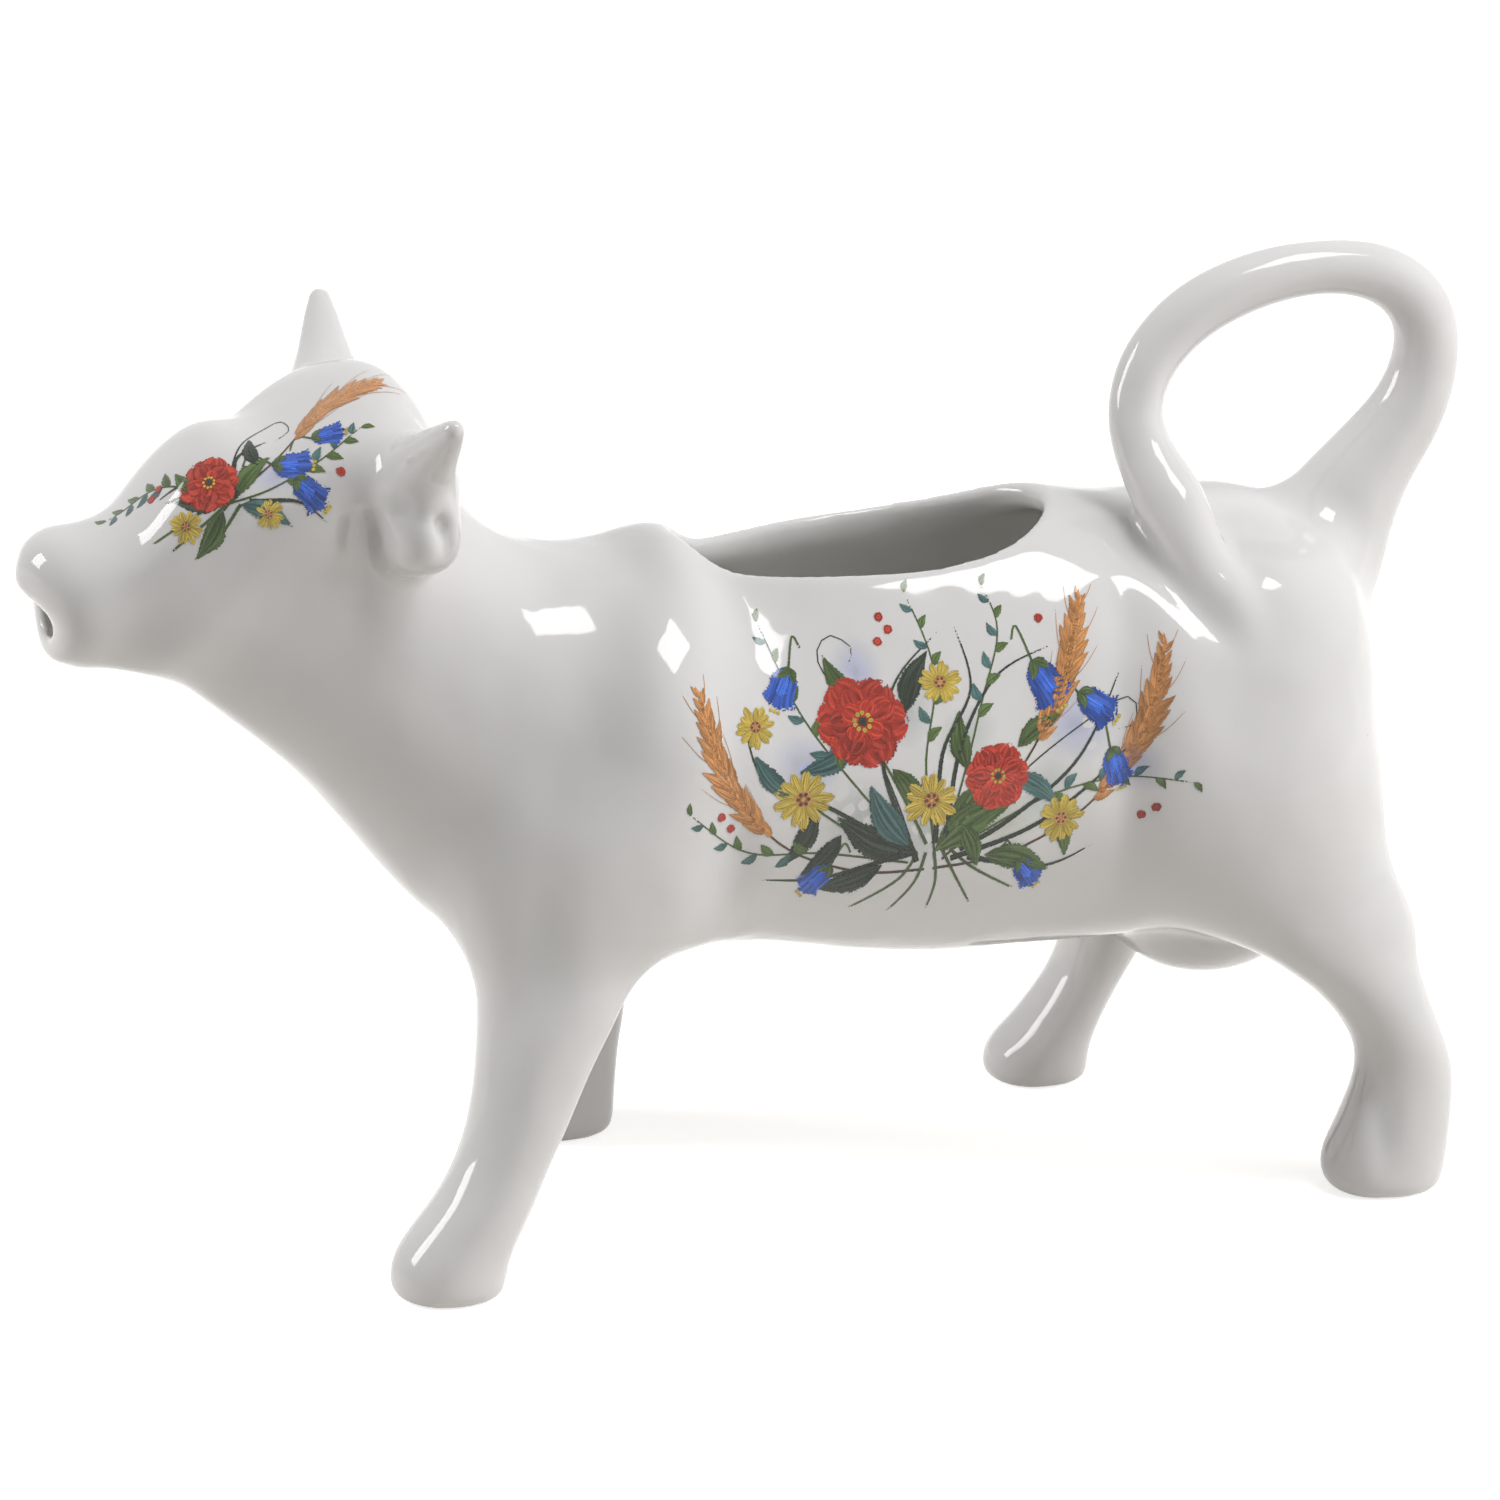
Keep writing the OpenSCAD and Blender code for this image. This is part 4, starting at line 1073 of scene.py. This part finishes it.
@built_once("node_groups", "printed ink")
def printed_ink(name):
    """Group: one printed stroke, darker at its root, streaked along it, and stippled out at its edge. A soft
    one is a smooth pale wash."""
    titles = {"Ink": "Color", "Along": "Float", "Across": "Float", "Soft": "Float", "Place": "Vector"}
    tree, n, given, out = node_group(name, "ShaderNodeTree", titles, {"Color": "Color", "Cover": "Float"})
    ink, along, across, soft, place = (given.outputs[title] for title in titles)
    side = n.math("ABSOLUTE", n.math("SUBTRACT", across, 0.5))

    fibre = n.add("ShaderNodeCombineXYZ", {"X": along, "Y": across}).outputs["Vector"]
    fibre = n.vector_math("MULTIPLY", fibre, (1.2, 9.0, 0.0))
    fibre = n.vector_math("ADD", fibre, n.vector_math("MULTIPLY", place, (60.0, 60.0, 60.0)))
    grain = n.noise(fibre, 1.0, 2.0)
    streak = n.remap(grain, (0.42, 0.62), (0.0, 0.75))
    root = n.remap(along, (0.0, 0.55), (0.7, 0.0))
    rib = n.remap(side, (0.0, 0.05), (0.5, 0.0))
    deep = n.math("MAXIMUM", n.math("MAXIMUM", streak, root), rib)
    drawn = n.mix(deep, ink, n.vector_math("MULTIPLY", ink, (0.30, 0.26, 0.30)))
    bright = n.vector_math("MULTIPLY_ADD", ink, (1.3, 1.3, 1.3), (0.06, 0.06, 0.06))
    lit = n.remap(grain, (0.48, 0.32), (0.0, 0.6))
    n.link(n.mix(lit, drawn, bright), out.inputs["Color"])

    fade = n.remap(soft, (0.0, 1.0), (0.40, 0.0))
    edge = n.remap(side, (0.5, fade), (0.0, 1.0))
    tip = n.remap(along, (1.0, 0.90), (0.0, 1.0))
    dots = n.remap(n.noise(place, 4200.0, 0.0), (0.3, 0.7), (0.0, 0.9))
    cover = n.math("SUBTRACT", n.math("MINIMUM", edge, tip), dots)
    cover = n.remap(cover, (-0.1, 0.15), (0.0, 1.0))
    wash = n.math("MULTIPLY", edge, 0.20)
    n.link(n.mix(soft, cover, wash, "FLOAT"), out.inputs["Cover"])
    return tree


def glazed(n, out, place, sockets):
    """Ends a material in the gloss and the waves of the glaze, and gives the waves' node."""
    waves = n.add("ShaderNodeGroup", {"Place": place}, node_tree=glaze_waves())
    bump = n.add("ShaderNodeBump", {"Height": waves.outputs["Height"], "Strength": 0.7, "Distance": 0.0007})
    shader = n.add("ShaderNodeBsdfPrincipled", {
        **sockets, "Roughness": bpy.context.scene.creamer_glaze.gloss_roughness, "IOR": 1.5,
        "Normal": bump.outputs["Normal"]})
    n.link(shader.outputs["BSDF"], out.inputs["Surface"])
    return waves, shader


@built_once("materials", "glaze")
def glaze_material(name):
    """Clear glaze on white porcelain: slow waves, a few specks, greyer where the glaze lies thick in hollows
    and creases, which is also painted shade there, and whiter inside the jug, which is painted light.
    """
    look = bpy.context.scene.creamer_glaze
    material, n, out, place = new_material(name)
    waves, shader = glazed(n, out, place, {})
    depth = n.add("ShaderNodeGroup", {"Place": place, "Bend": n.attribute("bend")}, node_tree=glaze_pooling_and_shade())
    # Pooled glaze and painted shade: greyer where the surface bends inwards.
    colour = n.mix(depth.outputs["Thick"], (*look.porcelain, 1), (*look.pooled, 1))
    # Painted light: the wall of the milk space is whitened.
    colour = n.mix(n.attribute("inside"), colour, (*look.inner, 1))
    colour = n.mix(n.math("MULTIPLY", waves.outputs["Speck"], 0.35), colour, (*look.speck, 1))
    n.link(colour, shader.inputs["Base Color"])
    return material


@built_once("materials", "print")
def print_material(name):
    """Ink on the glaze, with the gloss and the waves of the glaze that carries it."""
    material, n, out, place = new_material(name)
    ink = n.add("ShaderNodeGroup", {
        "Place": place, "Ink": n.attribute("ink", "Color"), "Along": n.attribute("along"),
        "Across": n.attribute("across"), "Soft": n.attribute("soft")}, node_tree=printed_ink())
    glazed(n, out, place, {"Base Color": ink.outputs["Color"], "Alpha": ink.outputs["Cover"]})
    return material


STAMPS = ["a_petal", "b_leaf", "c_bell", "d_floret", "e_dot", "f_wash"]


def stamp_shape(kind, t, s):
    """Place of a stamp's point: t from root to tip, s from side to side."""
    if kind == "a_petal":
        half = 0.5 * np.sin(math.pi * t ** 1.5) ** 0.7
        return t * (1 - 0.10 * (1 - np.abs(s)) * t ** 6) + 0 * s, s * half
    if kind == "b_leaf":
        half = 0.17 * np.sin(math.pi * t ** 0.8) ** 1.15
        return t + 0 * s, s * half + 0.07 * np.sin(math.pi * t)
    if kind == "c_bell":
        half = 0.06 + 0.30 * np.sin(0.5 * math.pi * np.minimum(t / 0.35, 1)) + 0.16 * t ** 5
        return t * (1 + 0.13 * t ** 3 * np.cos(3 * math.pi * s)), s * half
    if kind == "d_floret":
        half = 0.19 * np.sin(math.pi * t ** 0.62)
        return t + 0 * s, s * half
    turn = math.pi * t
    return -0.5 * np.cos(turn) + 0 * s, s * 0.5 * np.sin(turn)


def make_stamps():
    """The collection of flat stamps, each a small grid that knows its length and width."""
    holder = bpy.data.collections.new("stamps")
    rows, columns = 8, 4
    i, k = np.meshgrid(np.arange(rows), np.arange(columns), indexing="ij")
    corner = i * (columns + 1) + k
    faces = np.stack([corner, corner + columns + 1, corner + columns + 2, corner + 1], -1).reshape(-1, 4)
    t, s = np.meshgrid(np.linspace(0, 1, rows + 1), np.linspace(-1, 1, columns + 1), indexing="ij")
    t, s = t.ravel(), s.ravel()
    for kind in STAMPS:
        x, y = stamp_shape(kind, np.clip(t, 1e-4, 1 - 1e-4), s)
        obj = mesh_object(kind, np.stack([x, y, 0 * x], 1), faces, print_material())
        collection().objects.unlink(obj)
        holder.objects.link(obj)
        round_one = kind in ("e_dot", "f_wash")
        put_values(obj.data, "along", 0.6 + 0 * t if round_one else t)
        put_values(obj.data, "across", 0.5 + np.hypot(x, y) if round_one else (s + 1) / 2)
        put_values(obj.data, "soft", np.full(len(t), float(kind == "f_wash")))
    return holder


def along_line(points, count):
    """Places and directions at even steps on a smooth line through a few points."""
    rows = smooth_rows(points, 16, 0)
    at = np.concatenate([[0], np.cumsum(np.linalg.norm(np.diff(rows, axis=0), axis=1))])
    places = np.stack([np.interp(np.linspace(0, at[-1], count), at, rows[:, k]) for k in range(2)], 1)
    way = np.gradient(places, axis=0)
    return places, np.degrees(np.arctan2(way[:, 1], way[:, 0]))


class Spray:
    """The plan of a spray: stamps and stalks with their inks, in millimetres on the flat sheet. The order
    in which they are drawn sets the random draws."""
    LINE_STEPS = 25

    def __init__(self, table, look, seed):
        self.look = look
        self.random = np.random.default_rng(seed)
        self.stamps = []
        self.lines = []
        for points in table["stalks"]:
            self.line(points, 0.42, 0.25, "leaf")
        for x, y, size, ink in table["washes"]:
            self.stamp("f_wash", x, y, self.jitter(180), size, 0.8, ink, 0, 1.5)
        for points in table["blades"]:
            self.line(points, 0.75, 0.12, "shade", 2)
        for points in table["tendrils"]:
            self.line(points, 0.24, 0.12, "shade")
        for points in table["sprigs"]:
            self.sprig(points)
        for points in table["plumes"]:
            self.plume(points)
        for index, (x, y, turn, size) in enumerate(table["leaves"]):
            ink = ("shade", "leaf", "sea", "leaf")[index % 4]
            self.stamp("b_leaf", x, y, turn, size, 1.15, ink, 2 + index % 3)
        for x, y, turn, size in table["bells"]:
            self.bell(x, y, turn, size)
        for x, y, size in table["daisies"]:
            self.daisy(x, y, size)
        for x, y, size in table["roses"]:
            self.rose(x, y, size)
        for x, y in table["berries"]:
            self.dot(x, y, 1.1, "red", 4)

    def jitter(self, spread):
        return float(self.random.uniform(-spread, spread))

    def ink(self, name, tone=1.0):
        tone *= 1 + self.jitter(0.16)
        return [min(v * tone, 1.0) for v in getattr(self.look, name)]

    def stamp(self, kind, x, y, turn, size, wide, ink, layer, tone=1.0):
        self.stamps.append((STAMPS.index(kind), x, y, turn, size, size * wide, layer, self.ink(ink, tone)))

    def dot(self, x, y, size, ink, layer):
        self.stamp("e_dot", x, y, 0, size, 1, ink, layer)

    def dot_round(self, x, y, turn, reach, size, ink, layer):
        """A dot at some reach from a middle, in the direction of the turn."""
        a = math.radians(turn)
        self.dot(x + reach * math.cos(a), y + reach * math.sin(a), size, ink, layer)

    def line(self, points, start, end, ink, layer=1):
        self.lines.append((points, start, end, layer, self.ink(ink)))

    def sprig(self, points):
        """A thin stalk with pairs of small leaves past its bare part."""
        self.line(points, 0.3, 0.16, "leaf")
        count, bare = 15, 6
        places, turns = along_line(points, count)
        for index in range(bare, count):
            side = 1 if index % 2 else -1
            size = 2.5 - 0.12 * (index - bare)
            x, y = places[index]
            turn = turns[index] + side * 42 + self.jitter(8)
            self.stamp("b_leaf", x, y, turn, size, 1.5, ("leaf", "sea")[index % 2], 2, 1.25)

    def plume(self, points):
        """An ear of grain: close florets past the bare part of its stalk, with some bristles."""
        self.line(points, 0.34, 0.2, "bark")
        count, bare = 44, 22
        places, turns = along_line(points, count)
        for index in range(bare, count):
            side = 1 if index % 2 else -1
            size = 3.4 * math.sin(math.pi * (0.22 + 0.72 * (index - bare) / (count - bare))) + 0.7
            (x, y), turn = places[index], turns[index]
            outwards = turn + side * (24 + self.jitter(7))
            self.stamp("d_floret", x, y, outwards, size, 0.95, "ochre", 2 + index % 3)
            onwards = turn + side * (8 + self.jitter(5))
            self.stamp("d_floret", x, y, onwards, 0.8 * size, 0.8, "ochre", 4, 1.15)
            if index % 3 == 0:
                way = math.radians(turn + side * 30)
                far = 1.7 * size
                self.line([(x, y), (x + 0.5 * far * math.cos(way), y + 0.5 * far * math.sin(way)),
                           (x + far * math.cos(way - 0.12 * side), y + far * math.sin(way - 0.12 * side))],
                          0.12, 0.05, "ochre")

    def bell(self, x, y, turn, size):
        c, s = math.cos(math.radians(turn)), math.sin(math.radians(turn))
        self.stamp("c_bell", x, y, turn, size, 1.0, "blue", 4)
        self.stamp("c_bell", x + 0.1 * size * c, y + 0.1 * size * s, turn, 0.62 * size, 0.5, "blue", 5, 1.7)
        for side in (-1, 1):
            self.stamp("b_leaf", x, y, turn + side * 34, 0.42 * size, 1.6, "leaf", 6)
        for side in (-1, 0, 1):
            out, off = 1.12 * size, 0.1 * side * size
            self.dot(x + out * c - off * s, y + out * s + off * c, 0.1 * size, "yellow", 5)
        bow = 0.5 * size
        self.line([(x, y), (x - bow * c, y - bow * s + 0.5 * bow),
                   (x - 1.6 * bow * c, y - 1.6 * bow * s - 0.6 * bow)], 0.3, 0.26, "leaf")

    def daisy(self, x, y, size):
        petals, seeds = 13, 6
        for index in range(petals):
            turn = 360 * index / petals + self.jitter(7)
            self.stamp("a_petal", x, y, turn, size * (1 + self.jitter(0.1)), 0.36, "yellow", 4 + index % 2)
        self.dot(x, y, 0.62 * size, "ochre", 6)
        for index in range(seeds):
            self.dot_round(x, y, 360 * index / seeds, 0.18 * size, 0.14 * size, "bark", 7)

    def rose(self, x, y, size):
        rings = [(6, 1.0, 1.0, 1.0), (5, 0.74, 0.98, 0.85), (4, 0.48, 0.95, 1.1)]
        for ring, (petals, reach, wide, tone) in enumerate(rings):
            for index in range(petals):
                turn = 360 * index / petals + 31 * ring + self.jitter(7)
                length = size * reach * (1 + self.jitter(0.07))
                self.stamp("a_petal", x, y, turn, length, wide, "red", 4 + ring, tone)
        seeds = 9
        for index in range(seeds):
            turn = 360 * index / seeds + self.jitter(9)
            self.dot_round(x, y, turn, 0.17 * size, 0.10 * size, "yellow", 8)
        self.dot(x, y, 0.2 * size, "shade", 8)

    def sheet(self, name):
        """A mesh of the plan: one loose point for each stamp and a string of points for each stalk."""
        points, values, edges = [], [], []
        for kind, x, y, turn, size, wide, layer, ink in self.stamps:
            points.append((x, y, 0))
            values.append((kind, math.radians(turn), size, wide, layer, 0, *ink))
        for line, start, end, layer, ink in self.lines:
            places, _ = along_line(line, self.LINE_STEPS + 1)
            first = len(points)
            for index, (x, y) in enumerate(places):
                points.append((x, y, 0))
                values.append((-1, 0, 0, 0, layer, start + (end - start) * index / self.LINE_STEPS, *ink))
            edges += [(first + index, first + index + 1) for index in range(self.LINE_STEPS)]
        mesh = bpy.data.meshes.new(name)
        mesh.from_pydata(points, edges, [])
        values = np.array(values, np.float32)
        kind = mesh.attributes.new("kind", "INT", "POINT")
        kind.data.foreach_set("value", values[:, 0].astype(np.int32))
        for column, title in ((1, "turn"), (2, "long"), (3, "wide"), (4, "layer"), (5, "thick")):
            put_values(mesh, title, values[:, column])
        ink = mesh.attributes.new("ink", "FLOAT_VECTOR", "POINT")
        ink.data.foreach_set("vector", values[:, 6:9].ravel())
        obj = bpy.data.objects.new(name, mesh)
        collection().objects.link(obj)
        return obj


@built_once("node_groups", "print spray")
def spray_tree(name):
    """Geometry nodes: stamps set on the plan's loose points, and flat ribbons drawn along its stalks."""
    titles = {"Geometry": "Geometry", "Stamps": "Collection", "Bloom Size": "Float",
              "Stalk Width": "Float", "Ink": "Material"}
    tree, n, given, out = node_group(name, "GeometryNodeTree", titles, {"Geometry": "Geometry"})
    kind = n.named("kind", "INT")
    is_stamp = n.add("FunctionNodeCompare", {2: kind, 3: -1}, data_type="INT", operation="GREATER_THAN")
    stamps = n.add("GeometryNodeCollectionInfo", {
        "Collection": given.outputs["Stamps"], "Separate Children": True, "Reset Children": True})
    turn = n.add("ShaderNodeCombineXYZ", {"Z": n.named("turn")}).outputs[0]
    turn = n.add("FunctionNodeEulerToRotation", {0: turn}).outputs[0]
    size = n.add("ShaderNodeCombineXYZ", {"X": n.named("long"), "Y": n.named("wide"), "Z": 1.0}).outputs[0]
    size = n.add("ShaderNodeVectorMath", {0: size, "Scale": given.outputs["Bloom Size"]}, operation="SCALE")
    placed = n.add("GeometryNodeInstanceOnPoints", {
        "Points": given.outputs["Geometry"], "Selection": is_stamp.outputs[0], "Instance": stamps.outputs[0],
        "Pick Instance": True, "Instance Index": kind, "Rotation": turn, "Scale": size.outputs[0]})

    stalks = n.add("GeometryNodeMeshToCurve", {0: given.outputs["Geometry"]}).outputs[0]
    ran = n.add("GeometryNodeSplineParameter").outputs["Factor"]
    stalks = n.add("GeometryNodeStoreNamedAttribute", {"Geometry": stalks, "Name": "along", "Value": ran},
                   data_type="FLOAT", domain="POINT").outputs[0]
    stalks = n.add("GeometryNodeSetCurveNormal", {0: stalks}, mode="Z_UP").outputs[0]
    line = n.add("GeometryNodeCurvePrimitiveLine", {"Start": (-0.5, 0, 0), "End": (0.5, 0, 0)}).outputs[0]
    line = n.add("GeometryNodeResampleCurve", {"Curve": line, "Count": 3}).outputs[0]
    crossed = n.add("GeometryNodeSplineParameter").outputs["Factor"]
    line = n.add("GeometryNodeStoreNamedAttribute", {"Geometry": line, "Name": "across", "Value": crossed},
                 data_type="FLOAT", domain="POINT").outputs[0]
    thick = n.math("MULTIPLY", n.named("thick"), given.outputs["Stalk Width"])
    ribbons = n.add("GeometryNodeCurveToMesh", {"Curve": stalks, "Profile Curve": line, "Scale": thick})

    joined = n.add("GeometryNodeJoinGeometry")
    n.link(placed.outputs[0], joined.inputs[0])
    n.link(ribbons.outputs[0], joined.inputs[0])
    real = n.add("GeometryNodeRealizeInstances", {"Geometry": joined.outputs[0]}).outputs[0]
    inked = n.add("GeometryNodeSetMaterial", {"Geometry": real, "Material": given.outputs["Ink"]}).outputs[0]
    n.link(inked, out.inputs[0])
    return tree


@built_once("node_groups", "tail sweep")
def tail_tree(name):
    """Geometry nodes: a round rod of changing thickness, swept along the tail's middle line."""
    titles = {"Geometry": "Geometry", "Thickness": "Float", "Sides": "Int", "Glaze": "Material"}
    tree, n, given, out = node_group(name, "GeometryNodeTree", titles, {"Geometry": "Geometry"})
    middle = n.add("GeometryNodeMeshToCurve", {0: given.outputs["Geometry"]}).outputs[0]
    ring = n.add("GeometryNodeCurvePrimitiveCircle", {"Resolution": given.outputs["Sides"], "Radius": 0.5})
    thick = n.math("MULTIPLY", n.named("thick"), given.outputs["Thickness"])
    rod = n.add("GeometryNodeCurveToMesh", {
        "Curve": middle, "Profile Curve": ring.outputs[0], "Scale": thick, "Fill Caps": True}).outputs[0]
    real = n.add("GeometryNodeRealizeInstances", {"Geometry": rod}).outputs[0]
    painted = n.add("GeometryNodeSetMaterial", {"Geometry": real, "Material": given.outputs["Glaze"]})
    n.link(painted.outputs[0], out.inputs[0])
    return tree


def evaluated(obj, tree, values):
    """The plain mesh that a geometry node tree makes of an object, which is then removed."""
    modifier = obj.modifiers.new(tree.name, "NODES")
    modifier.node_group = tree
    for item in tree.interface.items_tree:
        if item.item_type == "SOCKET" and item.in_out == "INPUT" and item.name in values:
            modifier[item.identifier] = values[item.name]
    bpy.context.view_layer.update()
    graph = bpy.context.evaluated_depsgraph_get()
    mesh = bpy.data.meshes.new_from_object(obj.evaluated_get(graph), preserve_all_data_layers=True,
                                           depsgraph=graph)
    plan = obj.data
    bpy.data.objects.remove(obj)
    bpy.data.meshes.remove(plan)
    return mesh


def print_spray(name, table, sheet, holder, scale, seed):
    """Lays a flat spray on the glazed body and finishes it as a thin film."""
    look = bpy.context.scene.creamer_print
    plan = Spray(table, look, seed).sheet(name + "_plan")
    mesh = evaluated(plan, spray_tree(), {"Stamps": holder, "Bloom Size": 1.0, "Stalk Width": 1.0,
                                          "Ink": print_material()})
    flat = read_values(mesh.vertices, "co", 3) * 0.001 * scale
    layer = read_values(mesh.attributes["layer"].data, "value", 1)
    middle, azimuth, elevation, turn = sheet
    _, out = camera_place(azimuth, elevation, 1, Vector())
    across = Vector((0, 0, 1)).cross(out).normalized()
    up = out.cross(across)
    c, s = math.cos(math.radians(turn)), math.sin(math.radians(turn))
    across, up = c * across + s * up, c * up - s * across
    body = clay()
    start = np.array(middle) + SHEET_OFF * np.array(out)
    points = body.land(start + flat[:, 0:1] * np.array(across) + flat[:, 1:2] * np.array(up), np.array(out))
    normals = body.normals_at(points)
    points += normals * (look.film + look.lap * layer)
    obj = bpy.data.objects.new(name, mesh)
    mesh.name = name
    collection().objects.link(obj)
    mesh.vertices.foreach_set("co", points.astype(np.float32).ravel())
    mesh.update()
    shade_smooth(mesh)
    mesh.normals_split_custom_set_from_vertices(normals.tolist())
    finish_piece(obj)


class CREAMER_OT_cast_shells(bpy.types.Operator):
    """Cast the hollow trunk and head"""
    bl_idname = "creamer.cast_shells"
    bl_label = "Cast Trunk and Head"

    def execute(self, context):
        cast("trunk_shell")
        cast("head_shell")
        return {"FINISHED"}


class CREAMER_OT_cast_legs(bpy.types.Operator):
    """Cast the four legs"""
    bl_idname = "creamer.cast_legs"
    bl_label = "Cast Legs"

    def execute(self, context):
        for name in LEG_SHARES:
            cast(name)
        return {"FINISHED"}


class CREAMER_OT_cast_udder_and_tail(bpy.types.Operator):
    """Cast the udder and the looped tail"""
    bl_idname = "creamer.cast_udder_and_tail"
    bl_label = "Cast Udder and Tail"

    def execute(self, context):
        cast("udder")
        cast("tail_handle")
        return {"FINISHED"}


class CREAMER_OT_cast_horns_and_ears(bpy.types.Operator):
    """Cast the horns and the ears"""
    bl_idname = "creamer.cast_horns_and_ears"
    bl_label = "Cast Horns and Ears"

    def execute(self, context):
        for word in ("left", "right"):
            cast(word + "_ear")
            cast(word + "_horn")
        return {"FINISHED"}


class CREAMER_OT_print_sprays(bpy.types.Operator):
    """Print the flower sprays on the left flank and the brow"""
    bl_idname = "creamer.print_sprays"
    bl_label = "Print Sprays"

    def execute(self, context):
        look = context.scene.creamer_print
        stamps = make_stamps()
        print_spray("flank_spray", FLANK_SPRAY, FLANK_SHEET, stamps, look.flank_scale, 5)
        print_spray("brow_spray", BROW_SPRAY, BROW_SHEET, stamps, look.brow_scale, 8)
        for obj in list(stamps.objects):
            bpy.data.objects.remove(obj)
        bpy.data.collections.remove(stamps)
        return {"FINISHED"}


def camera_place(azimuth, elevation, distance, target):
    a, e = math.radians(azimuth), math.radians(elevation)
    back = Vector((math.sin(a) * math.cos(e), -math.cos(a) * math.cos(e), math.sin(e)))
    return target + distance * back, back


def seen_rays(n):
    """1 for rays that the camera sees straight on, in gloss or through glass, otherwise 0."""
    rays = n.add("ShaderNodeLightPath").outputs
    either = n.math("MAXIMUM", rays["Is Camera Ray"], rays["Is Glossy Ray"])
    return n.math("MAXIMUM", either, rays["Is Transmission Ray"])


@built_once("materials", "table")
def table_material(name):
    """A plain pale table, lifted to white where it is seen, more so far off. The shadow is kept."""
    material, n, out, place = new_material(name)
    plain = n.add("ShaderNodeBsdfDiffuse", {"Color": (*TABLE_COLOUR, 1)})
    far = n.add("ShaderNodeVectorMath", {0: place}, operation="LENGTH").outputs["Value"]
    raised = n.remap(far, (0.3, 1.0), TABLE_LIFT)
    shown = n.math("MULTIPLY", seen_rays(n), raised)
    white = n.add("ShaderNodeEmission", {"Color": (1, 1, 1, 1), "Strength": shown})
    both = n.add("ShaderNodeAddShader", {0: plain.outputs[0], 1: white.outputs[0]})
    n.link(both.outputs[0], out.inputs["Surface"])
    return material


def softbox(name, azimuth, elevation, distance, size, power, target):
    place, back = camera_place(azimuth, elevation, distance, target)
    light = bpy.data.lights.new(name, "AREA")
    light.shape = "RECTANGLE"
    light.size, light.size_y = size
    light.energy = power
    obj = bpy.data.objects.new(name, light)
    obj.location = place
    obj.rotation_euler = back.to_track_quat("Z", "Y").to_euler()
    collection().objects.link(obj)
    return obj


class CREAMER_OT_stage(bpy.types.Operator):
    """Set the camera, the lamps and the white table"""
    bl_idname = "creamer.stage"
    bl_label = "Set the Stage"

    def execute(self, context):
        scene = context.scene
        target = Vector(AIM)
        camera = bpy.data.cameras.new("camera")
        camera.sensor_width = SENSOR
        camera.lens = SENSOR * PIXELS_PER_MM * CAMERA_DISTANCE / (PHOTO_PIXELS / 1000)
        camera.clip_start = 0.01
        view = bpy.data.objects.new("camera", camera)
        view.location, back = camera_place(CAMERA_AZIMUTH, CAMERA_ELEVATION, CAMERA_DISTANCE, target)
        view.rotation_euler = back.to_track_quat("Z", "Y").to_euler()
        collection().objects.link(view)
        scene.camera = view
        world = bpy.data.worlds.new("room")
        scene.world = world
        world.use_nodes = True
        n = Nodes(world.node_tree)
        out = n.add("ShaderNodeOutputWorld")
        strength = n.remap(seen_rays(n), (0.0, 1.0), (ROOM_LIGHT, 1.0))
        sky = n.add("ShaderNodeBackground", {"Color": (1, 1, 1, 1), "Strength": strength})
        n.link(sky.outputs[0], out.inputs["Surface"])
        x = y = TABLE_REACH
        floor = mesh_object("floor", [(-x, -y, 0), (x, -y, 0), (x, y, 0), (-x, y, 0)], [(0, 1, 2, 3)],
                            table_material())
        floor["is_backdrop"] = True
        for name, *lamp, glossy in LAMPS:
            softbox(name, *lamp, target).visible_glossy = glossy
        scene.view_settings.view_transform = "Standard"
        return {"FINISHED"}


class CREAMER_PT_panel(bpy.types.Panel):
    """Sizes and steps of the cow creamer"""
    bl_idname = "CREAMER_PT_panel"
    bl_label = "Cow Creamer"
    bl_space_type = "VIEW_3D"
    bl_region_type = "UI"
    bl_category = "Creamer"

    def draw(self, context):
        for operator in OPERATORS:
            self.layout.operator(operator.bl_idname)
        for title, group in GROUPS.items():
            box = self.layout.box()
            for name in group.__annotations__:
                box.prop(getattr(context.scene, title), name)


OPERATORS = [CREAMER_OT_cast_shells, CREAMER_OT_cast_legs, CREAMER_OT_cast_udder_and_tail,
             CREAMER_OT_cast_horns_and_ears, CREAMER_OT_print_sprays, CREAMER_OT_stage]
GROUPS = {"creamer_trunk": TrunkSizes, "creamer_head": HeadSizes, "creamer_limbs": LimbSizes,
          "creamer_glaze": GlazeLook, "creamer_print": PrintLook}


def register():
    for name, group in GROUPS.items():
        bpy.utils.register_class(group)
        setattr(bpy.types.Scene, name, bpy.props.PointerProperty(type=group))
    for item in [*OPERATORS, CREAMER_PT_panel]:
        bpy.utils.register_class(item)


def unregister():
    for item in reversed([*OPERATORS, CREAMER_PT_panel]):
        bpy.utils.unregister_class(item)
    for name, group in GROUPS.items():
        delattr(bpy.types.Scene, name)
        bpy.utils.unregister_class(group)


def main():
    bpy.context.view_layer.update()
    register()
    bpy.ops.creamer.cast_shells()
    bpy.ops.creamer.cast_legs()
    bpy.ops.creamer.cast_udder_and_tail()
    bpy.ops.creamer.cast_horns_and_ears()
    bpy.ops.creamer.print_sprays()
    bpy.ops.creamer.stage()


if __name__ == "__main__":
    main()
